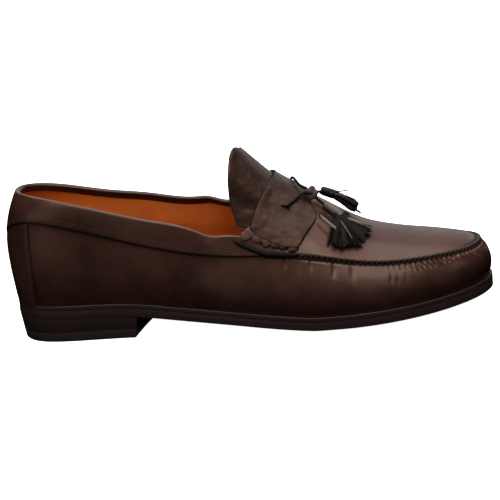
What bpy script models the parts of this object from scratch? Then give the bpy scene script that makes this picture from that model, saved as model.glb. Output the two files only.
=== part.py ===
"""A tassel loafer for the right foot: the shoe's long axis is X with the toe at +X,
the outer (lateral) side is -Y, and the floor is at Z = 0. All sizes are in metres."""

import math

import bmesh
import bpy
import numpy as np
from mathutils import Matrix, Vector

# Driving sizes of the last and the sole
LENGTH = 0.302  # outsole, heel to toe
BALL_WIDTH = 0.1040
HEEL_WIDTH = 0.0652
BACK_HEIGHT = 0.0920  # top of the collar at the heel, above the floor
TOE_HEIGHT = 0.0425  # rim of the apron over the toes, above the floor
INSTEP_HEIGHT = 0.1100  # top of the tongue, above the floor
HEEL_LIFT = 0.0160  # floor to the outsole at the back of the heel
TOE_SPRING = 0.0056  # floor to the outsole at the toe
EDGE_RISE = 0.0015  # how far the forefoot's underside curves up at its edges
EDGE_ZONE = 0.0220  # how wide that curved edge is
OUTSOLE_THICK = 0.0052
WELT_THICK = 0.0027
WELT_WIDTH = 0.0110
TOP_LIFT_THICK = 0.0060
HEEL_LENGTH = 0.0770
HEEL_TAPER = 0.0020  # how far the heel draws in towards the floor
BREAST_HOLLOW = 0.0010  # how far the heel's front face is hollowed
BREAST_SLANT = 1.12  # how many times further forward the heel runs on the inner side
MARGIN_HEEL = 0.0008  # sole edge showing beyond the upper at the heel
MARGIN_BALL = 0.0020  # sole edge showing beyond the upper at the ball
WALL = 0.0018  # leather and lining of the upper
SEAM_RISE = 0.0016  # the hand-sewn seam stands this far off the upper
SEAM_INSET = 0.0032  # half the width of that raised seam
BAND_THICK = 0.0011
STRAP_THICK = 0.0016
TONGUE_THICK = 0.0016
INSOLE_THICK = 0.0030
GAP = 0.0003
LACE_RADIUS = 0.0009
KNOT_SIZE = (0.0042, 0.0040, 0.0034)  # half sizes along, across and up
KNOT_REACH = 0.0043  # from the knot's middle to where a tassel's neck starts
TASSEL_HEAD = 0.0032  # radius of a tassel's rolled head
STRIP_STEPS = 5
ROOT_SPREAD = 0.0011  # how far the strips lie apart where they leave the head
STRIP_WIDTH = 0.0024
STRIP_THICK = 0.0011
STRIPS = 11  # cut strips on a tassel
STRAP_GAP = 0.0005  # the saddle strap over the faceted instep
TONGUE_GAP = 0.0009  # the tongue under the faceted instep

# The outsole's outline, one row a station from the back of the heel to the toe.
# x is a share of LENGTH; the sides are shares of the half width there, outer side negative.
OUTLINE_COLUMNS = ("x", "outer", "inner")
OUTLINE = (
    (0.000, 0.000, 0.000),
    (0.014, -0.552, 0.552),
    (0.050, -0.883, 0.859),
    (0.112, -1.012, 0.988),
    (0.195, -1.043, 0.966),
    (0.285, -1.097, 0.876),
    (0.380, -1.097, 0.770),
    (0.475, -1.068, 0.763),
    (0.565, -1.020, 0.835),
    (0.650, -1.020, 0.925),
    (0.735, -0.985, 0.965),
    (0.815, -0.885, 0.920),
    (0.885, -0.721, 0.797),
    (0.943, -0.493, 0.626),
    (0.982, -0.237, 0.389),
    (1.000, 0.076, 0.076),
)

# The line round the upper that is the collar band's lower edge at the back and the
# raised apron seam at the front, at the same stations. Heights are shares of the
# height there, which runs from BACK_HEIGHT at the heel to TOE_HEIGHT at the toe.
SEAM_COLUMNS = ("x", "outer", "inner", "outer_height", "inner_height")
SEAM = (
    (-0.0053, 0.000, 0.000, 0.717, 0.717),
    (0.0093, -0.475, 0.475, 0.788, 0.788),
    (0.048, -0.745, 0.727, 0.832, 0.832),
    (0.111, -0.868, 0.822, 0.797, 0.797),
    (0.195, -0.936, 0.837, 0.721, 0.728),
    (0.285, -1.027, 0.861, 0.637, 0.652),
    (0.381, -0.979, 0.796, 0.571, 0.592),
    (0.470, -0.890, 0.759, 0.590, 0.610),
    (0.550, -0.824, 0.746, 0.675, 0.688),
    (0.629, -0.797, 0.755, 0.770, 0.780),
    (0.709, -0.769, 0.750, 0.835, 0.845),
    (0.785, -0.708, 0.715, 0.870, 0.880),
    (0.854, -0.607, 0.640, 0.866, 0.872),
    (0.916, -0.446, 0.522, 0.868, 0.868),
    (0.959, -0.218, 0.332, 0.875, 0.875),
    (0.975, 0.076, 0.076, 0.889, 0.889),
)

# The edge of the opening: the collar's top line, then the throat under the strap.
OPENING_COLUMNS = ("x", "outer", "inner", "outer_height", "inner_height")
OPENING = (
    (0.0215, 0.000, 0.000, 1.000, 1.000),
    (0.0315, -0.353, 0.353, 0.996, 0.996),
    (0.066, -0.613, 0.598, 0.981, 0.980),
    (0.124, -0.776, 0.742, 0.941, 0.940),
    (0.204, -0.859, 0.807, 0.870, 0.880),
    (0.288, -0.936, 0.846, 0.797, 0.832),
    (0.371, -0.895, 0.795, 0.731, 0.779),
    (0.440, -0.826, 0.715, 0.675, 0.822),
    (0.493, -0.775, 0.645, 0.760, 0.850),
    (0.530, -0.620, 0.600, 0.900, 0.900),
    (0.555, -0.475, 0.480, 1.000, 1.000),
    (0.570, -0.335, 0.365, 1.000, 1.000),
    (0.579, -0.225, 0.265, 1.000, 1.000),
    (0.584, -0.135, 0.185, 1.000, 1.000),
    (0.587, -0.040, 0.115, 1.000, 1.000),
    (0.588, 0.040, 0.040, 1.000, 1.000),
)

# How far the wall swells beyond the straight line, near the sole and near the seam,
# and how far the collar band swells, in shares of BALL_WIDTH.
SWELL_COLUMNS = ("x", "low", "high", "band")
SWELL = (
    (0.00, 0.020, 0.018, 0.012),
    (0.12, 0.020, 0.012, 0.008),
    (0.30, 0.022, 0.010, 0.004),
    (0.50, 0.030, 0.022, 0.000),
    (0.70, 0.034, 0.040, 0.000),
    (0.88, 0.034, 0.060, 0.000),
    (1.00, 0.034, 0.070, 0.000),
)

# The ridge of the instep and apron, from the tongue's top to the toe.
# Heights are shares of INSTEP_HEIGHT.
RIDGE_COLUMNS = ("x", "side", "height")
RIDGE = (
    (0.430, 0.08, 1.148),
    (0.460, 0.08, 1.072),
    (0.485, 0.08, 1.000),
    (0.515, 0.08, 0.916),
    (0.550, 0.08, 0.822),
    (0.590, 0.08, 0.744),
    (0.625, 0.08, 0.685),
    (0.665, 0.08, 0.617),
    (0.705, 0.08, 0.548),
    (0.745, 0.08, 0.492),
    (0.790, 0.08, 0.455),
    (0.840, 0.08, 0.428),
    (0.890, 0.08, 0.408),
    (0.930, 0.08, 0.389),
    (0.955, 0.08, 0.371),
    (0.976, 0.076, 0.339),
)
CROWN = 2.2  # power of the curve across the instep and apron

# The outsole's underside: shares of HEEL_LIFT and of TOE_SPRING
UNDERSIDE_COLUMNS = ("x", "heel", "toe")
UNDERSIDE = (
    (0.00, 1.000, 0.00),
    (0.12, 0.950, 0.00),
    (0.24, 0.880, 0.00),
    (0.30, 0.760, 0.00),
    (0.36, 0.610, 0.00),
    (0.44, 0.410, 0.00),
    (0.52, 0.210, 0.00),
    (0.58, 0.070, 0.00),
    (0.62, 0.000, 0.00),
    (0.70, 0.000, 0.00),
    (0.78, 0.000, 0.14),
    (0.86, 0.000, 0.40),
    (0.94, 0.000, 0.72),
    (1.00, 0.000, 1.00),
)

# The saddle strap, from the ridge down each side: where its rear and front edges lie
STRAP_COLUMNS = ("across", "rear", "front")
STRAP = (
    (0.00, 0.5550, 0.6150),
    (0.25, 0.5500, 0.6220),
    (0.50, 0.5370, 0.6350),
    (0.62, 0.5260, 0.6355),
    (0.70, 0.5180, 0.6270),
    (0.86, 0.5000, 0.6075),
    (0.89, 0.4960, 0.6030),
    (0.95, 0.5780, 0.5930),
)

# The tongue's rear edge, from the ridge down each side
TONGUE_COLUMNS = ("across", "rear")
TONGUE = (
    (0.00, 0.4930),
    (0.20, 0.4790),
    (0.40, 0.4690),
    (0.60, 0.4630),
    (0.76, 0.4640),
    (0.86, 0.4760),
)
TONGUE_INNER_TRIM = 0.030  # how much further ahead its rear edge lies on the inner side
# The lace's two runs over the strap, from slit to knot: x, y and the height of the
# lace's middle above the instep, in metres
NEAR_LACE = (
    (0.1734, -0.0236, 0.0034),
    (0.1758, -0.0214, 0.0035),
    (0.1789, -0.0179, 0.0036),
    (0.1815, -0.0143, 0.0040),
    (0.1839, -0.0113, 0.0050),
)
FAR_LACE = (
    (0.1772, 0.0150, 0.0034),
    (0.1778, 0.0100, 0.0035),
    (0.1788, 0.0050, 0.0036),
    (0.1802, 0.0000, 0.0037),
    (0.1820, -0.0040, 0.0040),
    (0.1846, -0.0070, 0.0050),
)
KNOT_PLACE = (0.1876, -0.0098, 0.0060)

# The tassels: where the head starts and ends, the turn of the first and last strip in
# plan, and the lowest and highest place of a strip's end above the apron, in metres
NEAR_TASSEL = {
    "head": (0.1954, -0.0141, 0.0050),
    "end": (0.2055, -0.0179, 0.0046),
    "turns": (math.radians(-112), math.radians(6)),
    "lifts": (0.0016, 0.0044),
    "length": 0.0235,  # of a strip, from inside the head to its cut end
}
FAR_TASSEL = {
    "head": (0.1935, -0.0018, 0.0064),
    "end": (0.2030, 0.0010, 0.0074),
    "turns": (math.radians(-11), math.radians(43)),
    "lifts": (0.0032, 0.0078),
    "length": 0.0190,
}

TONGUE_FRONT = 0.630  # share of LENGTH, hidden under the apron

STATIONS = len(OUTLINE) - 1  # stations from the heel to the toe
RING = 2 * STATIONS  # stations right round
FINE = 600  # samples of a line that is looked up by x


def ease(value, start, end):
    """0 before start, 1 after end, and smooth between."""
    share = np.clip((value - start) / (end - start), 0, 1)
    return share * share * (3 - 2 * share)


def spline(knots, rows, at):
    """A natural cubic spline through the rows, read at the given places."""
    knots = np.asarray(knots, float)
    rows = np.asarray(rows, float)
    at = np.asarray(at, float)
    step = np.diff(knots)
    slope = np.diff(rows, axis=0) / step[:, None]
    system = np.eye(len(knots))
    right = np.zeros_like(rows)
    for i in range(1, len(knots) - 1):
        system[i, i - 1 : i + 2] = step[i - 1], 2 * (step[i - 1] + step[i]), step[i]
        right[i] = 6 * (slope[i] - slope[i - 1])
    bend = np.linalg.solve(system, right)
    k = np.clip(np.searchsorted(knots, at, side="right") - 1, 0, len(knots) - 2)
    t = (at - knots[k])[..., None]
    h = step[k][..., None]
    first = slope[k] - h * (2 * bend[k] + bend[k + 1]) / 6
    return rows[k] + t * first + t**2 * bend[k] / 2 + t**3 * (bend[k + 1] - bend[k]) / (6 * h)


def half_width(x):
    """Half the width that the side shares refer to, at a share of the length."""
    return (HEEL_WIDTH + (BALL_WIDTH - HEEL_WIDTH) * ease(x, 0.25, 0.62)) / 2


def height(x):
    """The height that the height shares refer to, at a share of the length."""
    return BACK_HEIGHT + (TOE_HEIGHT - BACK_HEIGHT) * ease(x, 0.35, 0.80)


def ring_of(outer, inner):
    """A closed line round the shoe, read by station: up the outer side, back down the inner."""
    ring = list(outer) + list(inner[-2:0:-1])
    pad = 4
    padded = ring[-pad:] + ring + ring[: pad + 1]
    knots = np.arange(-pad, len(ring) + pad + 1)
    return lambda station: spline(knots, padded, np.mod(station, len(ring)))


def line_of(table):
    """The closed line of a table that has columns for both sides and both heights."""
    outer = [(x * LENGTH, o * half_width(x), h * height(x)) for x, o, _, h, _ in table]
    inner = [(x * LENGTH, i * half_width(x), h * height(x)) for x, _, i, _, h in table]
    return ring_of(outer, inner)


outline = ring_of(
    [(x * LENGTH, o * half_width(x)) for x, o, _ in OUTLINE],
    [(x * LENGTH, i * half_width(x)) for x, _, i in OUTLINE],
)
sole_edge = outline(np.linspace(0, RING, FINE))
seam = line_of(SEAM)
opening = line_of(OPENING)


def outward(station):
    """The outline's unit normal in plan, pointing away from the foot."""
    step = 0.01
    along = outline(station + step) - outline(station - step)
    normal = np.stack([along[..., 1], -along[..., 0]], axis=-1)
    return normal / np.linalg.norm(normal, axis=-1, keepdims=True)


def inset_outline(station, inset):
    return outline(station) - outward(station) * np.asarray(inset)[..., None]


def edge_distance(plan):
    """How far each place in plan is from the sole's edge."""
    apart = plan[..., None, :] - sole_edge
    return np.sqrt((apart**2).sum(axis=-1).min(axis=-1))


def underside(plan):
    """Height of the outsole's underside over a place in plan, with its edges curving up."""
    x = plan[..., 0] / LENGTH
    shares = spline([row[0] for row in UNDERSIDE], [row[1:] for row in UNDERSIDE], x)
    middle = np.maximum(0, HEEL_LIFT * shares[..., 0] + TOE_SPRING * shares[..., 1])
    curl = np.clip(1 - edge_distance(plan) / EDGE_ZONE, 0, 1)
    return middle + EDGE_RISE * curl * ease(x, 0.3, 0.5)


def feather_height(plan):
    """Height of the welt's top, which the upper stands on."""
    return underside(plan) + OUTSOLE_THICK + GAP + WELT_THICK


def feather(station):
    """The lower edge of the upper."""
    x = outline(station)[..., 0] / LENGTH
    margin = MARGIN_HEEL + (MARGIN_BALL - MARGIN_HEEL) * ease(x, 0.2, 0.6)
    plan = inset_outline(station, margin)
    return np.concatenate([plan, (feather_height(plan) + GAP)[..., None]], axis=-1)


outer_edge = seam(np.linspace(0, STATIONS, FINE))
inner_edge = seam(np.linspace(RING, STATIONS, FINE))


def ridge(x):
    """The ridge's side place and height at x, in metres."""
    rows = [(side * half_width(at), up * INSTEP_HEIGHT) for at, side, up in RIDGE]
    return np.moveaxis(spline([row[0] for row in RIDGE], rows, x / LENGTH), -1, 0)


def across(x, y):
    """0 on the ridge, 1 on the seam, with the height of the seam on that side."""
    middle, _ = ridge(x)
    outer = y < middle
    edge_y = np.where(outer, np.interp(x, *outer_edge[:, :2].T), np.interp(x, *inner_edge[:, :2].T))
    edge_z = np.where(
        outer, np.interp(x, *outer_edge[:, ::2].T), np.interp(x, *inner_edge[:, ::2].T)
    )
    span = np.maximum(np.abs(edge_y - middle), 0.0005)
    return np.clip(np.abs(y - middle) / span, 0, 1), edge_z


def instep_height(x, y):
    """Height of the instep and apron over a place in plan."""
    share, edge_z = across(x, y)
    top = ridge(x)[1]
    return edge_z + (top - edge_z) * (1 - share**CROWN)


def instep_point(x, y, lift):
    """A point on the instep, raised along its normal."""
    step = 0.0008
    slope_x = (instep_height(x + step, y) - instep_height(x - step, y)) / (2 * step)
    slope_y = (instep_height(x, y + step) - instep_height(x, y - step)) / (2 * step)
    normal = np.stack([-slope_x, -slope_y, np.ones_like(slope_x)], axis=-1)
    normal /= np.linalg.norm(normal, axis=-1, keepdims=True)
    place = np.stack([x, y, instep_height(x, y)], axis=-1)
    return place + normal * np.asarray(lift)[..., None]


def side_place(x, share, outer):
    """The y that lies at this share of the way from the ridge to the seam."""
    middle, _ = ridge(x)
    edge = outer_edge if outer else inner_edge
    return middle + share * (np.interp(x, *edge[:, :2].T) - middle)


def wall_point(station, up):
    """The upper between the sole, up = 0, and the seam line, up = 1: one cubic curve a station."""
    low = feather(station)
    high = seam(station)
    out = np.concatenate([outward(station), np.zeros_like(station)[..., None]], axis=-1)
    swell = spline([row[0] for row in SWELL], [row[1:] for row in SWELL], low[..., 0] / LENGTH)
    rise = np.zeros_like(low)
    rise[..., 2] = high[..., 2] - low[..., 2]
    first = low + out * swell[..., :1] * BALL_WIDTH + rise * 0.35
    second = high + out * swell[..., 1:2] * BALL_WIDTH - rise * 0.25
    up = up[..., None]
    down = 1 - up
    return low * down**3 + first * 3 * down**2 * up + second * 3 * down * up**2 + high * up**3


def cover_point(station, along):
    """The upper between the seam line, along = 0, and the edge of the opening, along = 1."""
    start = seam(station)
    end = opening(station)
    t = along[..., None]
    out = np.concatenate([outward(station), np.zeros_like(station)[..., None]], axis=-1)
    swell = spline([row[0] for row in SWELL], [row[1:] for row in SWELL], start[..., 0] / LENGTH)
    band = start + (end - start) * t + out * swell[..., 2:3] * BALL_WIDTH * 4 * t * (1 - t)
    plan = start[..., :2] + (end[..., :2] - start[..., :2]) * t
    top = instep_height(plan[..., 0], plan[..., 1])
    apron = np.concatenate([plan, top[..., None]], axis=-1)
    share = ease(start[..., 0] / LENGTH, 0.42, 0.54)[..., None]
    return band * (1 - share) + apron * share


WALL_ROWS = (0, 0.18, 0.38, 0.58, 0.78, 0.92)
COVER_ROWS = (0.0, 0.10, 0.22, 0.35, 0.50, 0.66, 0.83, 1.0)


def seam_share(station):
    """1 where the line is the raised apron seam, 0 where it is the collar band's edge."""
    return ease(seam(station)[..., 0] / LENGTH, 0.56, 0.63)


def upper_lattice(stations):
    """Rows of points up the upper, from the sole over the seam to the opening."""
    rows = [wall_point(stations, np.full_like(stations, up)) for up in WALL_ROWS]
    crest = seam(stations)
    out = outward(stations)
    rise = (SEAM_RISE * seam_share(stations))[..., None]
    crest = crest + np.concatenate([out * 0.45 * rise, 0.9 * rise], axis=-1)
    rows.append(crest)
    reach = np.linalg.norm((opening(stations) - seam(stations))[..., :2], axis=-1)
    inset = np.minimum(SEAM_INSET / np.maximum(reach, SEAM_INSET), 0.3)
    inset = 0.16 + (inset - 0.16) * seam_share(stations)
    for share in COVER_ROWS:
        rows.append(cover_point(stations, inset + (1 - inset) * share))
    return np.stack(rows)


def middle_of_shoe():
    """The plan centre of the shoe's box, so that the model's origin can stand there."""
    round_sole = outline(np.linspace(0, RING, FINE))
    back = upper_lattice(np.zeros(1))[..., 0].min() - GAP - BAND_THICK
    x = (back + round_sole[:, 0].max()) / 2
    y = (round_sole[:, 1].min() + round_sole[:, 1].max()) / 2
    return np.array([x, y, 0])


MIDDLE = middle_of_shoe()


def material(name, colour, roughness):
    made = bpy.data.materials.new(name)
    made.use_nodes = True
    shader = made.node_tree.nodes["Principled BSDF"]
    shader.inputs["Base Color"].default_value = (*colour, 1)
    shader.inputs["Roughness"].default_value = roughness
    return made


CALF = (0.018, 0.010, 0.008)
LINING = (0.26, 0.075, 0.012)
EDGE = (0.012, 0.008, 0.007)
RUBBER = (0.010, 0.009, 0.009)


def finish_raw(name, bm):
    """A smooth shaded object from a bmesh that is already in its place."""
    bmesh.ops.remove_doubles(bm, verts=bm.verts, dist=1e-6)
    bmesh.ops.dissolve_degenerate(bm, edges=bm.edges, dist=1e-6)
    bmesh.ops.recalc_face_normals(bm, faces=bm.faces)
    mesh = bpy.data.meshes.new(name)
    bm.to_mesh(mesh)
    bm.free()
    mesh.shade_smooth()
    mesh.set_sharp_from_angle(angle=math.radians(40))
    obj = bpy.data.objects.new(name, mesh)
    bpy.context.scene.collection.objects.link(obj)
    return obj


def finish(name, bm, colour, roughness=0.4):
    """An object with its own material, moved so that the shared origin is under its middle."""
    bmesh.ops.translate(bm, verts=bm.verts, vec=Vector(-MIDDLE))
    obj = finish_raw(name, bm)
    obj.data.materials.append(material(name, colour, roughness))
    return obj


def lattice_solid(top, bottom):
    """A closed bmesh between two lattices of points, made as a grid that is then extruded."""
    rows, columns = top.shape[:2]
    bm = bmesh.new()
    bmesh.ops.create_grid(bm, x_segments=columns - 1, y_segments=rows - 1, size=0.5)
    under = bm.verts.layers.float_vector.new("under")
    for vert, place, below in zip(bm.verts, top.reshape(-1, 3), bottom.reshape(-1, 3)):
        vert.co = place
        vert[under] = Vector(below)
    bmesh.ops.remove_doubles(bm, verts=bm.verts, dist=1e-6)
    grown = bmesh.ops.extrude_face_region(bm, geom=bm.faces[:])["geom"]
    for item in grown:
        if isinstance(item, bmesh.types.BMVert):
            item.co = item[under]
    return bm


def solid_between(name, top, bottom, colour, roughness=0.4):
    """A sub-part between two lattices of points."""
    return finish(name, lattice_solid(top, bottom), colour, roughness)


def raised(points, lift, closed=False):
    """A lattice moved outwards along its own normals."""
    if closed:
        ring = points[:, :-1]
        along = np.roll(ring, -1, axis=1) - np.roll(ring, 1, axis=1)
        along = np.concatenate([along, along[:, :1]], axis=1)
    else:
        along = np.gradient(points, axis=1)
    normal = np.cross(along, np.gradient(points, axis=0))
    normal /= np.linalg.norm(normal, axis=-1, keepdims=True)
    return points + normal * np.asarray(lift)[..., None]


def at_height(plan, z):
    return np.concatenate([plan, (z + np.zeros(plan.shape[:-1]))[..., None]], axis=-1)


def plate_plan(stations, inset, lead=1.0):
    """Rows across the sole, one a station, from the outer side to the inner side."""
    share = (ACROSS_PLATE[None, :, None] + 1) / 2
    left = inset_outline(stations, inset)[:, None]
    right = inset_outline(RING - lead * stations, inset)[:, None]
    return left + (right - left) * share


ACROSS_PLATE = np.linspace(-1, 1, 5)
HALF_STATIONS = np.arange(0, STATIONS + 0.25, 0.5)
RING_STATIONS = np.arange(0, RING + 0.25, 0.5)


def build_sole():
    plan = plate_plan(HALF_STATIONS, 0.0 * HALF_STATIONS)
    low = underside(plan)
    solid_between(
        "outsole", at_height(plan, low + OUTSOLE_THICK), at_height(plan, low), EDGE, 0.45
    )
    ring = np.stack(
        [
            outline(RING_STATIONS),
            inset_outline(RING_STATIONS, np.full_like(RING_STATIONS, WELT_WIDTH)),
        ]
    )
    top = feather_height(ring)
    solid_between("welt", at_height(ring, top), at_height(ring, top - WELT_THICK), EDGE, 0.45)


def heel_lattice(stations, z):
    """The heel's outline at a height, hollowed at its front and drawn in towards the floor."""
    plan = plate_plan(stations, 0.0 * stations, BREAST_SLANT)
    hollow = BREAST_HOLLOW * (stations / stations.max()) ** 8
    plan[..., 0] -= hollow[:, None] * (1 - ACROSS_PLATE**2)[None, :]
    z = z(plan)
    drawn = HEEL_TAPER / (HEEL_WIDTH / 2) * (1 - z / HEEL_LIFT)[..., None]
    middle = np.array([HEEL_LENGTH / 2, 0])
    return at_height(plan + (middle - plan) * drawn, z)


def build_heel():
    """The stack of lifts under the heel seat and the top lift that touches the floor."""
    samples = np.linspace(0, STATIONS, FINE)
    end = np.interp(HEEL_LENGTH, outline(samples)[:, 0], samples)
    stations = np.append(HALF_STATIONS[HALF_STATIONS < end - 0.1], end)
    seat = heel_lattice(stations, lambda plan: underside(plan) - GAP)
    joint = heel_lattice(stations, lambda plan: 0 * plan[..., 0] + TOP_LIFT_THICK + GAP)
    solid_between("heel_stack", seat, joint, EDGE, 0.45)
    tread = heel_lattice(stations, lambda plan: 0 * plan[..., 0])
    joint = heel_lattice(stations, lambda plan: 0 * plan[..., 0] + TOP_LIFT_THICK)
    solid_between("heel_top_lift", joint, tread, RUBBER, 0.6)


def build_insole():
    x = outline(HALF_STATIONS)[:, 0] / LENGTH
    margin = MARGIN_HEEL + (MARGIN_BALL - MARGIN_HEEL) * ease(x, 0.2, 0.6)
    plan = plate_plan(HALF_STATIONS, margin + WALL + 2 * GAP)
    low = feather_height(plan) + GAP
    solid_between(
        "insole", at_height(plan, low + INSOLE_THICK), at_height(plan, low), LINING, 0.6
    )


def build_upper():
    outer = upper_lattice(RING_STATIONS)
    solid_between("upper", outer, raised(outer, -WALL, closed=True), CALF, 0.3)


BAND_END = 8.0  # station where the collar band runs under the strap
STRIP_HALF = 2.0  # stations each side of the back that the heel strip covers


def build_overlays():
    """The collar band and the strip up the back of the heel, both laid on the upper."""
    stations = np.arange(-BAND_END, BAND_END + 0.25, 0.5)
    surface = upper_lattice(stations)
    band = surface[len(WALL_ROWS) :]
    solid_between(
        "collar_band", raised(band, GAP + BAND_THICK), raised(band, GAP), CALF, 0.3
    )
    stations = np.arange(-STRIP_HALF, STRIP_HALF + 0.25, 0.5)
    strip = upper_lattice(stations)[: len(WALL_ROWS)]
    solid_between(
        "heel_strip", raised(strip, GAP + BAND_THICK), raised(strip, GAP), CALF, 0.3
    )


def instep_lattice(table, columns, rows, front=None, inner_trim=0.0):
    """x, y and the signed share across for a piece that lies over the instep."""
    widest = table[-1][0]
    share = widest * np.sin(np.linspace(-math.pi / 2, math.pi / 2, columns))
    columns = np.array(table).T
    rear = np.interp(np.abs(share), columns[0], columns[1])
    rear = (rear + inner_trim * ease(share, 0.0, 0.4)) * LENGTH
    if front is None:
        ahead = np.interp(np.abs(share), columns[0], columns[2]) * LENGTH
    else:
        ahead = np.full_like(rear, front * LENGTH)
    along = np.linspace(0, 1, rows)[:, None]
    x = rear + (ahead - rear) * along
    outer = side_place(x, np.abs(share), True)
    inner = side_place(x, np.abs(share), False)
    return x, np.where(share < 0, outer, inner), share + 0 * x


def build_tongue():
    """The tongue lies inside the upper, and rises to the strap's level behind the throat."""
    x, y, share = instep_lattice(TONGUE, 13, 10, TONGUE_FRONT, TONGUE_INNER_TRIM)
    edge = opening(np.linspace(0, RING, FINE))
    sides = edge[np.argsort(edge[:, 1])]
    sides = sides[sides[:, 0] > 0.44 * LENGTH]
    throat = np.interp(y, sides[:, 1], sides[:, 0])
    sunk = WALL + TONGUE_GAP
    free = ease(throat - x, 0.002, 0.009) * (1 - ease(np.abs(share), 0.55, 0.75))
    depth = sunk * (1 - free)
    solid_between(
        "tongue",
        instep_point(x, y, -depth),
        instep_point(x, y, -depth - TONGUE_THICK),
        CALF,
        0.35,
    )


def build_strap():
    """The saddle strap runs over the throat and laps the front of the collar band."""
    x, y, share = instep_lattice(STRAP, 23, 6)
    lap = (BAND_THICK + GAP) * ease(np.abs(share), 0.66, 0.80)
    lift = STRAP_GAP + lap
    solid_between(
        "saddle_strap",
        instep_point(x, y, lift + STRAP_THICK),
        instep_point(x, y, lift),
        CALF,
        0.3,
    )


def instep_place(row):
    """A place given as x, y and a height above the instep."""
    x, y, lift = row
    return instep_point(np.array(x), np.array(y), lift)


def build_lace(name, route):
    """A round thong on a smooth curve through the route, with closed ends."""
    rows = np.array([instep_place(row) for row in route])
    steps = np.linspace(0, len(rows) - 1, 3 * len(rows))
    places = spline(np.arange(len(rows)), rows, steps) - MIDDLE
    curve = bpy.data.curves.new(name, "CURVE")
    curve.dimensions = "3D"
    curve.bevel_depth = LACE_RADIUS
    curve.bevel_resolution = 2
    curve.use_fill_caps = True
    run = curve.splines.new("POLY")
    run.points.add(len(places) - 1)
    for point, place in zip(run.points, places):
        point.co = (*place, 1)
    curve.materials.append(material(name, CALF, 0.5))
    obj = bpy.data.objects.new(name, curve)
    bpy.context.scene.collection.objects.link(obj)


def turned_to(direction, place):
    """The matrix that stands a shape's Z along a direction at a place."""
    turn = Vector(direction).to_track_quat("Z", "Y").to_matrix().to_4x4()
    return Matrix.Translation(Vector(place)) @ turn


def build_knot():
    """The knot: a flattened ball with a waist where the lace is pulled tight."""
    bm = bmesh.new()
    bmesh.ops.create_uvsphere(bm, u_segments=14, v_segments=9, radius=1)
    for vert in bm.verts:
        waist = 1 - 0.12 * math.exp(-((vert.co.z / 0.3) ** 2))
        vert.co = Vector((vert.co.x * waist, vert.co.y * waist, vert.co.z))
    along, wide, tall = KNOT_SIZE
    bmesh.ops.scale(bm, verts=bm.verts, vec=(tall, wide, along))
    heading = instep_place(FAR_TASSEL["end"]) - instep_place(NEAR_LACE[0])
    bmesh.ops.transform(
        bm, verts=bm.verts, matrix=turned_to(heading, instep_place(KNOT_PLACE))
    )
    finish("lace_knot", bm, CALF, 0.5)


def add_rod(bm, start, end, radius, segments):
    """A closed rod between two places."""
    start, end = Vector(start), Vector(end)
    bmesh.ops.create_cone(
        bm,
        cap_ends=True,
        segments=segments,
        radius1=radius,
        radius2=radius,
        depth=(end - start).length,
        matrix=turned_to(end - start, (start + end) / 2),
    )


def strip_lattice(tassel, share, lift, length):
    """The middle of one cut strip: from inside the head, bending out to its own turn."""
    head, end = (np.array(tassel[key]) for key in ("head", "end"))
    root = head + (end - head) * 0.55
    root_turn = math.atan2(end[1] - head[1], end[0] - head[0])
    first, last = tassel["turns"]
    steps = np.linspace(0, 1, STRIP_STEPS + 1)
    turns = root_turn + (first + (last - first) * share - root_turn) * ease(steps, 0.1, 0.6)
    along = np.stack([np.cos(turns), np.sin(turns)], axis=-1)
    aside = np.stack([-along[:, 1], along[:, 0]], axis=-1)
    walked = np.cumsum(along[:-1] + along[1:], axis=0) / 2 * length / STRIP_STEPS
    start = root[:2] + aside[0] * (share - 0.5) * 2 * ROOT_SPREAD
    plan = start + np.concatenate([np.zeros((1, 2)), walked])
    root_lift = root[2] + ROOT_SPREAD * (lift - np.mean(tassel["lifts"])) / 0.003
    lifts = root_lift + (lift - root_lift) * ease(steps, 0.2, 1.0)
    half = aside * STRIP_WIDTH / 2 * (1 - 0.2 * steps)[:, None]
    rows = np.stack([plan - half, plan + half])
    return instep_point(rows[..., 0], rows[..., 1], np.stack([lifts, lifts]))


def build_tassel(name, tassel):
    """A rolled head on a short neck, with the cut strips fused to its end in a fan."""
    knot = instep_place(KNOT_PLACE) - MIDDLE
    head, end = (instep_place(tassel[key]) - MIDDLE for key in ("head", "end"))
    towards = (head - knot) / np.linalg.norm(head - knot)
    bm = bmesh.new()
    add_rod(bm, head, end, TASSEL_HEAD, 12)
    body = finish_raw(name, bm)
    bm = bmesh.new()
    add_rod(bm, knot + towards * KNOT_REACH, head + (end - head) * 0.2, LACE_RADIUS, 8)
    pieces = [finish_raw(name + "_neck_form", bm)]
    low, high = tassel["lifts"]
    for i in range(STRIPS):
        lift = low + (high - low) * (0.5 + 0.5 * math.sin(2.4 * i))
        length = tassel["length"] * (0.95 + 0.05 * math.sin(1.7 * i))
        middle = strip_lattice(tassel, i / (STRIPS - 1), lift, length) - MIDDLE
        bm = lattice_solid(raised(middle, STRIP_THICK / 2), raised(middle, -STRIP_THICK / 2))
        bmesh.ops.triangulate(bm, faces=bm.faces)
        pieces.append(finish_raw(f"{name}_strip_form_{i + 1}", bm))
    for piece in pieces:
        piece.hide_render = True
        piece.display_type = "WIRE"
        join = body.modifiers.new("fuse", "BOOLEAN")
        join.operation = "UNION"
        join.solver = "EXACT"
        join.object = piece
    body.data.materials.append(material(name, CALF, 0.45))


def clear_scene():
    for obj in list(bpy.data.objects):
        bpy.data.objects.remove(obj)


def main():
    clear_scene()
    build_sole()
    build_heel()
    build_insole()
    build_upper()
    build_overlays()
    build_tongue()
    build_strap()
    build_lace("near_lace", NEAR_LACE)
    build_lace("far_lace", FAR_LACE)
    build_knot()
    build_tassel("near_tassel", NEAR_TASSEL)
    build_tassel("far_tassel", FAR_TASSEL)


main()
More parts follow.
